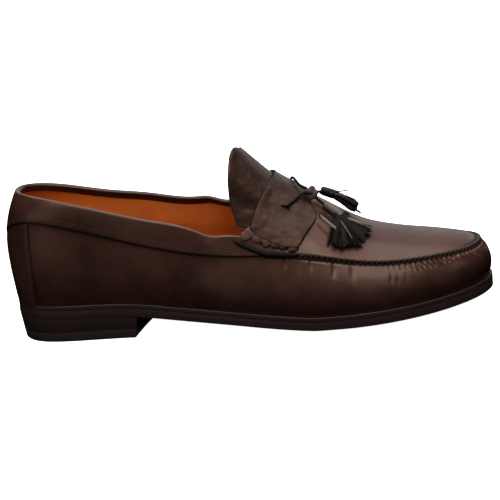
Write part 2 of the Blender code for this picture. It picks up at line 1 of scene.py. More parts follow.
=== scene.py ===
"""The finish of a tassel loafer for the right foot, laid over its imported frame.

The shoe's long axis is X with the toe at +X, the outer (lateral) side is -Y, and the
floor is at Z = 0. All sizes are in metres."""

import math

import bmesh
import bpy
import numpy as np
from mathutils import Matrix, Vector


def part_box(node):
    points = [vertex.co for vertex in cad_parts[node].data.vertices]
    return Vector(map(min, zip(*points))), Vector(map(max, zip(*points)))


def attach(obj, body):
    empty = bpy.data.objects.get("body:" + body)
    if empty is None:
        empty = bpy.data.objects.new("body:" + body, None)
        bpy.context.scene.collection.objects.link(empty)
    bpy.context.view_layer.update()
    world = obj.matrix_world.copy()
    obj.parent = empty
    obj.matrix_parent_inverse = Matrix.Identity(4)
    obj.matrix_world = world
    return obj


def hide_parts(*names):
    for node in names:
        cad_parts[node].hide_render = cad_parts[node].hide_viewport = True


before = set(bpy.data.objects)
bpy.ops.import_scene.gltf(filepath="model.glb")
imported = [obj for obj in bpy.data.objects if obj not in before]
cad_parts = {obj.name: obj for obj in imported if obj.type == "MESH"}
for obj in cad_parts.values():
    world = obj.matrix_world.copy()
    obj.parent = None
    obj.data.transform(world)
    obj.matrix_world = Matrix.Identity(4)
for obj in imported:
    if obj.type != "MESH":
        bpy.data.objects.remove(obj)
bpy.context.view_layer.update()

bl_info = {
    "name": "Tassel loafer finish",
    "version": (1, 0, 0),
    "blender": (4, 5, 0),
    "location": "3D View > Sidebar > Loafer",
    "description": "Leathers, seams, stitches, laces and tassels of a hand-sewn loafer",
    "category": "Object",
}

# Driving sizes of the last and the sole
LENGTH = 0.302  # outsole, heel to toe
BALL_WIDTH = 0.1040
HEEL_WIDTH = 0.0652
BACK_HEIGHT = 0.0920  # top of the collar at the heel, above the floor
TOE_HEIGHT = 0.0425  # rim of the apron over the toes, above the floor
INSTEP_HEIGHT = 0.1100  # top of the tongue, above the floor
HEEL_LIFT = 0.0160  # floor to the outsole at the back of the heel
TOE_SPRING = 0.0056  # floor to the outsole at the toe
EDGE_RISE = 0.0015  # how far the forefoot's underside curves up at its edges
EDGE_ZONE = 0.0220  # how wide that curved edge is
OUTSOLE_THICK = 0.0052
WELT_THICK = 0.0027
WELT_WIDTH = 0.0110
TOP_LIFT_THICK = 0.0060
HEEL_LENGTH = 0.0770
HEEL_TAPER = 0.0020  # how far the heel draws in towards the floor
BREAST_HOLLOW = 0.0010  # how far the heel's front face is hollowed
BREAST_SLANT = 1.12  # how many times further forward the heel runs on the inner side
MARGIN_HEEL = 0.0008  # sole edge showing beyond the upper at the heel
MARGIN_BALL = 0.0020  # sole edge showing beyond the upper at the ball
WALL = 0.0018  # leather and lining of the upper
SEAM_RISE = 0.0016  # the hand-sewn seam stands this far off the upper
BAND_THICK = 0.0011
STRAP_THICK = 0.0016
TONGUE_THICK = 0.0016
INSOLE_THICK = 0.0030
GAP = 0.0003
LACE_RADIUS = 0.0009
KNOT_SIZE = (0.0042, 0.0040, 0.0034)  # half sizes along, across and up
TASSEL_HEAD = 0.0032  # radius of a tassel's rolled head
ROOT_SPREAD = 0.0011  # how far the strips lie apart where they leave the head
STRIP_WIDTH = 0.0024
STRIP_THICK = 0.0011
STRAP_GAP = 0.0005  # the saddle strap over the faceted instep
TONGUE_GAP = 0.0009  # the tongue under the faceted instep

# The outsole's outline, one row a station from the back of the heel to the toe.
# x is a share of LENGTH; the sides are shares of the half width there, outer side negative.
OUTLINE_COLUMNS = ("x", "outer", "inner")
OUTLINE = (
    (0.000, 0.000, 0.000),
    (0.014, -0.552, 0.552),
    (0.050, -0.883, 0.859),
    (0.112, -1.012, 0.988),
    (0.195, -1.043, 0.966),
    (0.285, -1.097, 0.876),
    (0.380, -1.097, 0.770),
    (0.475, -1.068, 0.763),
    (0.565, -1.020, 0.835),
    (0.650, -1.020, 0.925),
    (0.735, -0.985, 0.965),
    (0.815, -0.885, 0.920),
    (0.885, -0.721, 0.797),
    (0.943, -0.493, 0.626),
    (0.982, -0.237, 0.389),
    (1.000, 0.076, 0.076),
)

# The line round the upper that is the collar band's lower edge at the back and the
# raised apron seam at the front, at the same stations. Heights are shares of the
# height there, which runs from BACK_HEIGHT at the heel to TOE_HEIGHT at the toe.
SEAM_COLUMNS = ("x", "outer", "inner", "outer_height", "inner_height")
SEAM = (
    (-0.0053, 0.000, 0.000, 0.717, 0.717),
    (0.0093, -0.475, 0.475, 0.788, 0.788),
    (0.048, -0.745, 0.727, 0.832, 0.832),
    (0.111, -0.868, 0.822, 0.797, 0.797),
    (0.195, -0.936, 0.837, 0.721, 0.728),
    (0.285, -1.027, 0.861, 0.637, 0.652),
    (0.381, -0.979, 0.796, 0.571, 0.592),
    (0.470, -0.890, 0.759, 0.590, 0.610),
    (0.550, -0.824, 0.746, 0.675, 0.688),
    (0.629, -0.797, 0.755, 0.770, 0.780),
    (0.709, -0.769, 0.750, 0.835, 0.845),
    (0.785, -0.708, 0.715, 0.870, 0.880),
    (0.854, -0.607, 0.640, 0.866, 0.872),
    (0.916, -0.446, 0.522, 0.868, 0.868),
    (0.959, -0.218, 0.332, 0.875, 0.875),
    (0.975, 0.076, 0.076, 0.889, 0.889),
)

# The edge of the opening: the collar's top line, then the throat under the strap.
OPENING_COLUMNS = ("x", "outer", "inner", "outer_height", "inner_height")
OPENING = (
    (0.0215, 0.000, 0.000, 1.000, 1.000),
    (0.0315, -0.353, 0.353, 0.996, 0.996),
    (0.066, -0.613, 0.598, 0.981, 0.980),
    (0.124, -0.776, 0.742, 0.941, 0.940),
    (0.204, -0.859, 0.807, 0.870, 0.880),
    (0.288, -0.936, 0.846, 0.797, 0.832),
    (0.371, -0.895, 0.795, 0.731, 0.779),
    (0.440, -0.826, 0.715, 0.675, 0.822),
    (0.493, -0.775, 0.645, 0.760, 0.850),
    (0.530, -0.620, 0.600, 0.900, 0.900),
    (0.555, -0.475, 0.480, 1.000, 1.000),
    (0.570, -0.335, 0.365, 1.000, 1.000),
    (0.579, -0.225, 0.265, 1.000, 1.000),
    (0.584, -0.135, 0.185, 1.000, 1.000),
    (0.587, -0.040, 0.115, 1.000, 1.000),
    (0.588, 0.040, 0.040, 1.000, 1.000),
)

# How far the wall swells beyond the straight line, near the sole and near the seam,
# and how far the collar band swells, in shares of BALL_WIDTH.
SWELL_COLUMNS = ("x", "low", "high", "band")
SWELL = (
    (0.00, 0.020, 0.018, 0.012),
    (0.12, 0.020, 0.012, 0.008),
    (0.30, 0.022, 0.010, 0.004),
    (0.50, 0.030, 0.022, 0.000),
    (0.70, 0.034, 0.040, 0.000),
    (0.88, 0.034, 0.060, 0.000),
    (1.00, 0.034, 0.070, 0.000),
)

# The ridge of the instep and apron, from the tongue's top to the toe.
# Heights are shares of INSTEP_HEIGHT.
RIDGE_COLUMNS = ("x", "side", "height")
RIDGE = (
    (0.430, 0.08, 1.148),
    (0.460, 0.08, 1.072),
    (0.485, 0.08, 1.000),
    (0.515, 0.08, 0.916),
    (0.550, 0.08, 0.822),
    (0.590, 0.08, 0.744),
    (0.625, 0.08, 0.685),
    (0.665, 0.08, 0.617),
    (0.705, 0.08, 0.548),
    (0.745, 0.08, 0.492),
    (0.790, 0.08, 0.455),
    (0.840, 0.08, 0.428),
    (0.890, 0.08, 0.408),
    (0.930, 0.08, 0.389),
    (0.955, 0.08, 0.371),
    (0.976, 0.076, 0.339),
)
CROWN = 2.2  # power of the curve across the instep and apron

# The outsole's underside: shares of HEEL_LIFT and of TOE_SPRING
UNDERSIDE_COLUMNS = ("x", "heel", "toe")
UNDERSIDE = (
    (0.00, 1.000, 0.00),
    (0.12, 0.950, 0.00),
    (0.24, 0.880, 0.00),
    (0.30, 0.760, 0.00),
    (0.36, 0.610, 0.00),
    (0.44, 0.410, 0.00),
    (0.52, 0.210, 0.00),
    (0.58, 0.070, 0.00),
    (0.62, 0.000, 0.00),
    (0.70, 0.000, 0.00),
    (0.78, 0.000, 0.14),
    (0.86, 0.000, 0.40),
    (0.94, 0.000, 0.72),
    (1.00, 0.000, 1.00),
)

# The saddle strap, from the ridge down each side: where its rear and front edges lie
STRAP_COLUMNS = ("across", "rear", "front")
STRAP = (
    (0.00, 0.5550, 0.6150),
    (0.25, 0.5500, 0.6220),
    (0.50, 0.5370, 0.6350),
    (0.62, 0.5260, 0.6355),
    (0.70, 0.5180, 0.6270),
    (0.86, 0.5000, 0.6075),
    (0.89, 0.4960, 0.6030),
    (0.95, 0.5780, 0.5930),
)

# The tongue's rear edge, from the ridge down each side
TONGUE_COLUMNS = ("across", "rear")
TONGUE = (
    (0.00, 0.4930),
    (0.20, 0.4790),
    (0.40, 0.4690),
    (0.60, 0.4630),
    (0.76, 0.4640),
    (0.86, 0.4760),
)
TONGUE_INNER_TRIM = 0.030  # how much further ahead its rear edge lies on the inner side

# The lace's two runs over the strap, from slit to knot: x, y and the height of the
# lace's middle above the instep, in metres
NEAR_LACE = (
    (0.1734, -0.0236, 0.0034),
    (0.1758, -0.0214, 0.0035),
    (0.1789, -0.0179, 0.0036),
    (0.1815, -0.0143, 0.0040),
    (0.1839, -0.0113, 0.0050),
)
FAR_LACE = (
    (0.1772, 0.0150, 0.0034),
    (0.1778, 0.0100, 0.0035),
    (0.1788, 0.0050, 0.0036),
    (0.1802, 0.0000, 0.0037),
    (0.1820, -0.0040, 0.0040),
    (0.1846, -0.0070, 0.0050),
)
KNOT_PLACE = (0.1876, -0.0098, 0.0060)

# The tassels: where the head starts and ends, the turn of the first and last strip in
# plan, and the lowest and highest place of a strip's end above the apron, in metres
NEAR_TASSEL = {
    "head": (0.1954, -0.0141, 0.0050),
    "end": (0.2055, -0.0179, 0.0046),
    "turns": (math.radians(-112), math.radians(6)),
    "lifts": (0.0016, 0.0044),
    "length": 0.0235,  # of a strip, from inside the head to its cut end
}
FAR_TASSEL = {
    "head": (0.1935, -0.0018, 0.0064),
    "end": (0.2030, 0.0010, 0.0074),
    "turns": (math.radians(-11), math.radians(43)),
    "lifts": (0.0032, 0.0078),
    "length": 0.0190,
}

TONGUE_FRONT = 0.630  # share of LENGTH, hidden under the apron

STATIONS = len(OUTLINE) - 1  # stations from the heel to the toe
RING = 2 * STATIONS  # stations right round
FINE = 600  # samples of a line that is looked up by x


def ease(value, start, end):
    """0 before start, 1 after end, and smooth between."""
    share = np.clip((value - start) / (end - start), 0, 1)
    return share * share * (3 - 2 * share)


def spline(knots, rows, at):
    """A natural cubic spline through the rows, read at the given places."""
    knots = np.asarray(knots, float)
    rows = np.asarray(rows, float)
    at = np.asarray(at, float)
    step = np.diff(knots)
    slope = np.diff(rows, axis=0) / step[:, None]
    system = np.eye(len(knots))
    right = np.zeros_like(rows)
    for i in range(1, len(knots) - 1):
        system[i, i - 1 : i + 2] = step[i - 1], 2 * (step[i - 1] + step[i]), step[i]
        right[i] = 6 * (slope[i] - slope[i - 1])
    bend = np.linalg.solve(system, right)
    k = np.clip(np.searchsorted(knots, at, side="right") - 1, 0, len(knots) - 2)
    t = (at - knots[k])[..., None]
    h = step[k][..., None]
    first = slope[k] - h * (2 * bend[k] + bend[k + 1]) / 6
    return rows[k] + t * first + t**2 * bend[k] / 2 + t**3 * (bend[k + 1] - bend[k]) / (6 * h)


def half_width(x):
    """Half the width that the side shares refer to, at a share of the length."""
    return (HEEL_WIDTH + (BALL_WIDTH - HEEL_WIDTH) * ease(x, 0.25, 0.62)) / 2


def height(x):
    """The height that the height shares refer to, at a share of the length."""
    return BACK_HEIGHT + (TOE_HEIGHT - BACK_HEIGHT) * ease(x, 0.35, 0.80)


def ring_of(outer, inner):
    """A closed line round the shoe, read by station: up the outer side, back down the inner."""
    ring = list(outer) + list(inner[-2:0:-1])
    pad = 4
    padded = ring[-pad:] + ring + ring[: pad + 1]
    knots = np.arange(-pad, len(ring) + pad + 1)
    return lambda station: spline(knots, padded, np.mod(station, len(ring)))


def line_of(table):
    """The closed line of a table that has columns for both sides and both heights."""
    outer = [(x * LENGTH, o * half_width(x), h * height(x)) for x, o, _, h, _ in table]
    inner = [(x * LENGTH, i * half_width(x), h * height(x)) for x, _, i, _, h in table]
    return ring_of(outer, inner)


outline = ring_of(
    [(x * LENGTH, o * half_width(x)) for x, o, _ in OUTLINE],
    [(x * LENGTH, i * half_width(x)) for x, _, i in OUTLINE],
)
sole_edge = outline(np.linspace(0, RING, FINE))
seam = line_of(SEAM)
opening = line_of(OPENING)


def outward(station):
    """The outline's unit normal in plan, pointing away from the foot."""
    step = 0.01
    along = outline(station + step) - outline(station - step)
    normal = np.stack([along[..., 1], -along[..., 0]], axis=-1)
    return normal / np.linalg.norm(normal, axis=-1, keepdims=True)


def inset_outline(station, inset):
    return outline(station) - outward(station) * np.asarray(inset)[..., None]


def edge_distance(plan):
    """How far each place in plan is from the sole's edge."""
    apart = plan[..., None, :] - sole_edge
    return np.sqrt((apart**2).sum(axis=-1).min(axis=-1))


def underside(plan):
    """Height of the outsole's underside over a place in plan, with its edges curving up."""
    x = plan[..., 0] / LENGTH
    shares = spline([row[0] for row in UNDERSIDE], [row[1:] for row in UNDERSIDE], x)
    middle = np.maximum(0, HEEL_LIFT * shares[..., 0] + TOE_SPRING * shares[..., 1])
    curl = np.clip(1 - edge_distance(plan) / EDGE_ZONE, 0, 1)
    return middle + EDGE_RISE * curl * ease(x, 0.3, 0.5)


def feather_height(plan):
    """Height of the welt's top, which the upper stands on."""
    return underside(plan) + OUTSOLE_THICK + GAP + WELT_THICK


def feather(station):
    """The lower edge of the upper."""
    x = outline(station)[..., 0] / LENGTH
    margin = MARGIN_HEEL + (MARGIN_BALL - MARGIN_HEEL) * ease(x, 0.2, 0.6)
    plan = inset_outline(station, margin)
    return np.concatenate([plan, (feather_height(plan) + GAP)[..., None]], axis=-1)


outer_edge = seam(np.linspace(0, STATIONS, FINE))
inner_edge = seam(np.linspace(RING, STATIONS, FINE))


def ridge(x):
    """The ridge's side place and height at x, in metres."""
    rows = [(side * half_width(at), up * INSTEP_HEIGHT) for at, side, up in RIDGE]
    return np.moveaxis(spline([row[0] for row in RIDGE], rows, x / LENGTH), -1, 0)


def across(x, y):
    """0 on the ridge, 1 on the seam, with the height of the seam on that side."""
    middle, _ = ridge(x)
    outer = y < middle
    edge_y = np.where(outer, np.interp(x, *outer_edge[:, :2].T), np.interp(x, *inner_edge[:, :2].T))
    edge_z = np.where(
        outer, np.interp(x, *outer_edge[:, ::2].T), np.interp(x, *inner_edge[:, ::2].T)
    )
    span = np.maximum(np.abs(edge_y - middle), 0.0005)
    return np.clip(np.abs(y - middle) / span, 0, 1), edge_z


def instep_height(x, y):
    """Height of the instep and apron over a place in plan."""
    share, edge_z = across(x, y)
    top = ridge(x)[1]
    return edge_z + (top - edge_z) * (1 - share**CROWN)


def instep_point(x, y, lift):
    """A point on the instep, raised along its normal."""
    step = 0.0008
    slope_x = (instep_height(x + step, y) - instep_height(x - step, y)) / (2 * step)
    slope_y = (instep_height(x, y + step) - instep_height(x, y - step)) / (2 * step)
    normal = np.stack([-slope_x, -slope_y, np.ones_like(slope_x)], axis=-1)
    normal /= np.linalg.norm(normal, axis=-1, keepdims=True)
    place = np.stack([x, y, instep_height(x, y)], axis=-1)
    return place + normal * np.asarray(lift)[..., None]


def side_place(x, share, outer):
    """The y that lies at this share of the way from the ridge to the seam."""
    middle, _ = ridge(x)
    edge = outer_edge if outer else inner_edge
    return middle + share * (np.interp(x, *edge[:, :2].T) - middle)


def seam_share(station):
    """1 where the line is the raised apron seam, 0 where it is the collar band's edge."""
    return ease(seam(station)[..., 0] / LENGTH, 0.56, 0.63)


def raised(points, lift, closed=False):
    """A lattice moved outwards along its own normals."""
    if closed:
        ring = points[:, :-1]
        along = np.roll(ring, -1, axis=1) - np.roll(ring, 1, axis=1)
        along = np.concatenate([along, along[:, :1]], axis=1)
    else:
        along = np.gradient(points, axis=1)
    normal = np.cross(along, np.gradient(points, axis=0))
    normal /= np.linalg.norm(normal, axis=-1, keepdims=True)
    return points + normal * np.asarray(lift)[..., None]


def at_height(plan, z):
    return np.concatenate([plan, (z + np.zeros(plan.shape[:-1]))[..., None]], axis=-1)


def instep_place(row):
    """A place given as x, y and a height above the instep."""
    x, y, lift = row
    return instep_point(np.array(x), np.array(y), lift)


def middle_of_shoe():
    """The row frame's origin in the shoe's own measure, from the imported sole."""
    side = (sole_edge[:, 1].min() + sole_edge[:, 1].max()) / 2
    return np.array([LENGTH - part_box("outsole")[1][0], side, 0])


MIDDLE = middle_of_shoe()
BAND_END = 8.0  # station where the collar band runs under the strap
STRIP_HALF = 2.0  # stations each side of the back that the heel strip covers


def outward_flat(stations):
    """The outline's normal in plan as a 3-D direction."""
    plan = outward(stations)
    return np.concatenate([plan, np.zeros_like(plan[..., :1])], axis=-1)


def swell_at(x):
    return spline([row[0] for row in SWELL], [row[1:] for row in SWELL], x / LENGTH)


def wall_rows(stations, ups):
    """The upper between the sole, up = 0, and the seam line, up = 1: one cubic curve a station."""
    low = feather(stations)
    high = seam(stations)
    out = outward_flat(stations)
    swell = swell_at(low[..., 0])
    rise = np.zeros_like(low)
    rise[..., 2] = high[..., 2] - low[..., 2]
    first = low + out * swell[..., :1] * BALL_WIDTH + rise * 0.35
    second = high + out * swell[..., 1:2] * BALL_WIDTH - rise * 0.25
    up = ups[:, None, None]
    down = 1 - up
    return low * down**3 + first * 3 * down**2 * up + second * 3 * down * up**2 + high * up**3


def cover_rows(stations, alongs):
    """The upper between the seam line, along = 0, and the edge of the opening, along = 1."""
    start = seam(stations)
    end = opening(stations)
    t = alongs[:, None, None]
    swell = swell_at(start[..., 0])[..., 2:3]
    band = start + (end - start) * t + outward_flat(stations) * swell * BALL_WIDTH * 4 * t * (1 - t)
    plan = start[..., :2] + (end[..., :2] - start[..., :2]) * t
    apron = at_height(plan, instep_height(plan[..., 0], plan[..., 1]))
    share = ease(start[..., 0] / LENGTH, 0.42, 0.54)[..., None]
    return band * (1 - share) + apron * share


def lengths_of(line):
    """How far each point of a line is from its start, along the line."""
    steps = np.linalg.norm(np.diff(line, axis=0), axis=-1)
    return np.concatenate([[0], np.cumsum(steps)])


def even_places(line, pitch, start=0.0, end=None):
    """Places a pitch apart along a line, with the line's direction at each."""
    far = lengths_of(line)
    end = far[-1] if end is None else end
    at = np.arange(start, end, pitch)
    place = np.stack([np.interp(at, far, line[:, i]) for i in range(3)], axis=-1)
    ahead = np.stack([np.interp(at + pitch / 4, far, line[:, i]) for i in range(3)], axis=-1)
    behind = np.stack([np.interp(at - pitch / 4, far, line[:, i]) for i in range(3)], axis=-1)
    return place, unit(ahead - behind)


def unit(vectors):
    return vectors / np.maximum(np.linalg.norm(vectors, axis=-1, keepdims=True), 1e-12)


def normals_of(points):
    """The outward normals of a lattice whose rows go up and whose columns go round."""
    return unit(np.cross(np.gradient(points, axis=1), np.gradient(points, axis=0)))


def linear(hex_colour):
    """An sRGB hex colour as linear red, green and blue."""
    shares = [int(hex_colour[i : i + 2], 16) / 255 for i in (1, 3, 5)]
    return tuple(s / 12.92 if s <= 0.04045 else ((s + 0.055) / 1.055) ** 2.4 for s in shares)


def new_node(tree, kind, inputs=(), **settings):
    """Adds a node, sets its settings, and links or sets each input."""
    made = tree.nodes.new(kind)
    for name, value in settings.items():
        setattr(made, name, value)
    for name, value in dict(inputs).items():
        if isinstance(value, bpy.types.NodeSocket):
            tree.links.new(value, made.inputs[name])
        else:
            made.inputs[name].default_value = value
    return made


def new_material(name):
    """A material with its node tree, its shader and its Object coordinates."""
    made = bpy.data.materials.new(name)
    made.use_nodes = True
    tree = made.node_tree
    shader = tree.nodes["Principled BSDF"]
    place = new_node(tree, "ShaderNodeTexCoord").outputs["Object"]
    return made, tree, shader, place


def noise(tree, place, size, detail=2.0, rough=0.5):
    """Noise whose marks are about this size, in metres."""
    inputs = {"Vector": place, "Scale": 1 / size, "Detail": detail, "Roughness": rough}
    return new_node(tree, "ShaderNodeTexNoise", inputs).outputs["Fac"]


def ramp(tree, value, low, high, start=0.0, end=1.0):
    """A value stretched from low..high to start..end, and held there."""
    inputs = {"Value": value, "From Min": low, "From Max": high, "To Min": start, "To Max": end}
    return new_node(tree, "ShaderNodeMapRange", inputs, clamp=True).outputs["Result"]


def blend_colour(tree, share, first, second):
    made = tree.nodes.new("ShaderNodeMix")
    made.data_type = "RGBA"
    share_socket, first_socket, second_socket = (made.inputs[i] for i in (0, 6, 7))
    for socket, value in ((share_socket, share), (first_socket, first), (second_socket, second)):
        if isinstance(value, bpy.types.NodeSocket):
            tree.links.new(value, socket)
        elif socket.type == "RGBA":
            socket.default_value = (*value, 1)
        else:
            socket.default_value = value
    return made.outputs[2]


def bumped(tree, shader, layers):
    """Bump nodes one on another, each with its height, strength and depth in metres."""
    normal = None
    for height_value, strength, depth in layers:
        inputs = {"Height": height_value, "Strength": strength, "Distance": depth}
        if normal is not None:
            inputs["Normal"] = normal
        normal = new_node(tree, "ShaderNodeBump", inputs).outputs["Normal"]
    tree.links.new(normal, shader.inputs["Normal"])


def set_shader(shader, **values):
    for name, value in values.items():
        shader.inputs[name.replace("_", " ").title().replace("Ior", "IOR")].default_value = value


GLAZE = (1.0, 0.60, 0.45)  # red-brown glaze that colours the calf's shine


def polished_calf(name, colour, lighter_tone, roughness=0.36, coat=0.13, crumple=0.12, ior=1.5):
    """Box calf, drum dyed, glazed and hand polished, with fine pores under a wet shine that softens in
    patches.
    One mask makes it redder and lighter for rubbed wear and painted highlight; another darkens it to
    near black for inked edges and painted shade where it turns away."""
    made, tree, shader, place = new_material(name)
    lightened = new_node(tree, "ShaderNodeAttribute", attribute_name="wear").outputs["Fac"]
    ink_and_shade_mask = new_node(tree, "ShaderNodeAttribute", attribute_name="burnish").outputs["Fac"]
    cloudy = noise(tree, place, 0.022, 3)
    pores = noise(tree, place, 0.0009, 3, 0.6)
    wrinkle = noise(tree, place, 0.0035, 2)
    smear = noise(tree, place, 0.009, 4, 0.6)
    tone = blend_colour(tree, ramp(tree, cloudy, 0.35, 0.7), colour, [c * 0.5 for c in colour])
    # Lighter, redder tone: rubbed wear, and painted highlight where the mask says so
    tone = blend_colour(tree, lightened, tone, lighter_tone)
    # Near black: inked cut edges, and painted shade where the mask says so
    tone = blend_colour(tree, ink_and_shade_mask, tone, [c * 0.12 for c in colour])
    tree.links.new(tone, shader.inputs["Base Color"])
    dull = ramp(tree, smear, 0.3, 0.75, roughness - 0.06, roughness + 0.08)
    tree.links.new(dull, shader.inputs["Roughness"])
    set_shader(shader, ior=1.48, coat_weight=coat, coat_roughness=0.16, coat_ior=1.45)
    set_shader(shader, specular_tint=(*GLAZE, 1), ior=ior, coat_tint=(1.0, 0.93, 0.90, 1))
    soft = noise(tree, place, 0.014, 2)
    bumped(
        tree, shader, ((soft, crumple, 0.0016), (wrinkle, 0.10, 0.0004), (pores, 0.16, 0.00012))
    )
    return made


def raw_edge(name, colour):
    """The cut edge of calf, inked dark and left matt, so that each overlay ends in a line."""
    made, tree, shader, place = new_material(name)
    fibre = noise(tree, place, 0.0006, 2, 0.6)
    tone = blend_colour(tree, fibre, colour, [c * 1.6 for c in colour])
    tree.links.new(tone, shader.inputs["Base Color"])
    set_shader(shader, roughness=0.85, ior=1.2)
    bumped(tree, shader, ((fibre, 0.2, 0.0001),))
    return made


def tan_lining(name, colour, dark):
    """Vegetable-tanned calf lining, undyed and brushed: warm tan, matt, with fine fibres, faint random
    stains, and painted shade that darkens it towards the bottom of the shoe."""
    made, tree, shader, place = new_material(name)
    low = new_node(tree, "ShaderNodeSeparateXYZ", {"Vector": place}).outputs["Z"]
    stain = noise(tree, place, 0.016, 4, 0.6)
    grain = noise(tree, place, 0.0008, 3, 0.65)
    tone = blend_colour(tree, ramp(tree, stain, 0.35, 0.75, 0.0, 0.5), colour, dark)
    # Painted shade: darker towards the bottom, deep inside the shoe
    tone = blend_colour(tree, ramp(tree, low, 0.075, 0.03, 0.0, 0.6), tone, dark)
    tree.links.new(tone, shader.inputs["Base Color"])
    tree.links.new(ramp(tree, grain, 0.3, 0.7, 0.5, 0.66), shader.inputs["Roughness"])
    set_shader(shader, ior=1.42, coat_weight=0.08, coat_roughness=0.4)
    bumped(tree, shader, ((noise(tree, place, 0.006, 3), 0.12, 0.0006), (grain, 0.22, 0.00015)))
    return made


def inked_edge(name, colour, lighter_tone):
    """Sole leather cut, sanded, inked and waxed: dark brown with fine layers along the edge,
    and a soft wax shine."""
    made, tree, shader, place = new_material(name)
    layered = new_node(
        tree, "ShaderNodeMapping", {"Vector": place, "Scale": (1.0, 1.0, 14.0)}
    ).outputs["Vector"]
    layers = noise(tree, layered, 0.012, 4, 0.6)
    speck = noise(tree, place, 0.0012, 3, 0.6)
    tone = blend_colour(tree, ramp(tree, layers, 0.4, 0.75, 0.0, 0.7), colour, lighter_tone)
    tree.links.new(tone, shader.inputs["Base Color"])
    tree.links.new(ramp(tree, speck, 0.3, 0.7, 0.34, 0.5), shader.inputs["Roughness"])
    set_shader(shader, ior=1.46, coat_weight=0.10, coat_roughness=0.35)
    bumped(tree, shader, ((layers, 0.12, 0.0003), (speck, 0.2, 0.00012)))
    return made


def moulded_rubber(name, colour):
    """Moulded rubber top lift: soft black with a dull, slightly pitted skin."""
    made, tree, shader, place = new_material(name)
    pits = noise(tree, place, 0.0007, 3, 0.6)
    tree.links.new(
        blend_colour(tree, ramp(tree, pits, 0.4, 0.8), colour, [c * 1.8 for c in colour]),
        shader.inputs["Base Color"],
    )
    set_shader(shader, roughness=0.62, ior=1.5)
    bumped(tree, shader, ((pits, 0.3, 0.0002),))
    return made


def waxed_thread(name, colour):
    """Waxed linen thread: plies that twist round each other, with a low shine."""
    made, tree, shader, place = new_material(name)
    plies = new_node(
        tree,
        "ShaderNodeTexWave",
        {"Vector": place, "Scale": 1 / 0.0011, "Distortion": 1.0},
        bands_direction="DIAGONAL",
    ).outputs["Fac"]
    tone = blend_colour(tree, plies, [c * 0.55 for c in colour], colour)
    tree.links.new(tone, shader.inputs["Base Color"])
    set_shader(shader, roughness=0.5, ior=1.5)
    bumped(tree, shader, ((plies, 0.5, 0.0002),))
    return made


def cut_thong(name, colour, lighter_tone):
    """Latigo lace, cut and waxed: darker and duller than the calf, made paler by a mask for painted
    highlight on the knot and tassel heads and for a few paler strips.
    """
    made, tree, shader, place = new_material(name)
    lightened = new_node(tree, "ShaderNodeAttribute", attribute_name="wear").outputs["Fac"]
    fibre = noise(tree, place, 0.0010, 3, 0.65)
    streak = noise(tree, place, 0.006, 3, 0.6)
    tone = blend_colour(tree, ramp(tree, streak, 0.35, 0.7), colour, [c * 0.6 for c in colour])
    tone = blend_colour(tree, lightened, tone, lighter_tone)
    tree.links.new(tone, shader.inputs["Base Color"])
    tree.links.new(ramp(tree, fibre, 0.3, 0.7, 0.5, 0.68), shader.inputs["Roughness"])
    set_shader(shader, ior=1.18)
    bumped(tree, shader, ((fibre, 0.25, 0.00015),))
    return made


def matt_floor(name, colour):
    """White acrylic light table: even and matt, lit from beneath so that shadows wash out."""
    made, tree, shader, place = new_material(name)
    speck = noise(tree, place, 0.004, 2)
    tone = blend_colour(tree, ramp(tree, speck, 0.3, 0.7), colour, [c * 0.985 for c in colour])
    tree.links.new(tone, shader.inputs["Base Color"])
    set_shader(shader, roughness=0.9, ior=1.3, emission_color=(1, 1, 1, 1), emission_strength=1.0)
    return made


def finish_of(name):
    """The material of this name, made once."""
    if name in bpy.data.materials:
        return bpy.data.materials[name]
    tint = bpy.context.scene.loafer_colours
    makers = {
        "polished_calf": lambda: polished_calf(name, tint.calf, tint.lighter_tone),
        "strap_calf": lambda: polished_calf(name, tint.strap, tint.lighter_tone, 0.36, 0.0, 0.8, 1.38),
        "raw_edge": lambda: raw_edge(name, tint.raw),
        "tan_lining": lambda: tan_lining(name, tint.lining, tint.lining_dark),
        "inked_edge": lambda: inked_edge(name, tint.edge, tint.edge_worn),
        "moulded_rubber": lambda: moulded_rubber(name, tint.rubber),
        "dark_thread": lambda: waxed_thread(name, tint.thread),
        "seam_thread": lambda: waxed_thread(name, tint.seam_thread),
        "cut_thong": lambda: cut_thong(name, tint.thong, tint.thong_pale_and_highlight),
        "roll_thong": lambda: cut_thong(name, tint.roll, tint.roll),
        "matt_floor": lambda: matt_floor(name, tint.floor),
    }
    return makers[name]()


def lattice_mesh(top, bottom=None, **layers):
    """A bmesh over a lattice of points, made as a grid, and extruded to the lattice below it."""
    rows, columns = top.shape[:2]
    bm = bmesh.new()
    floats = {name: bm.verts.layers.float.new(name) for name in layers}
    under = bm.verts.layers.float_vector.new("under")
    bmesh.ops.create_grid(bm, x_segments=columns - 1, y_segments=rows - 1, size=0.5)
    below = top if bottom is None else bottom
    for vert, place, low in zip(bm.verts, top.reshape(-1, 3), below.reshape(-1, 3)):
        vert.co = place
        vert[under] = Vector(low)
    for name, values in layers.items():
        layer = floats[name]
        for vert, value in zip(bm.verts, np.broadcast_to(values, top.shape[:2]).ravel()):
            vert[layer] = value
    bmesh.ops.remove_doubles(bm, verts=bm.verts, dist=2e-6)
    if bottom is not None:
        grown = bmesh.ops.extrude_face_region(bm, geom=bm.faces[:])["geom"]
        for item in grown:
            if isinstance(item, bmesh.types.BMVert):
                item.co = item[under]
    bm.verts.layers.float_vector.remove(under)
    return bm


def mark_edges(bm):
    """Gives the second material to the faces along a piece's darkened edges."""
    layer = bm.verts.layers.float["burnish"]
    for face in bm.faces:
        if all(vert[layer] > 0.9 for vert in face.verts):
            face.material_index = 1


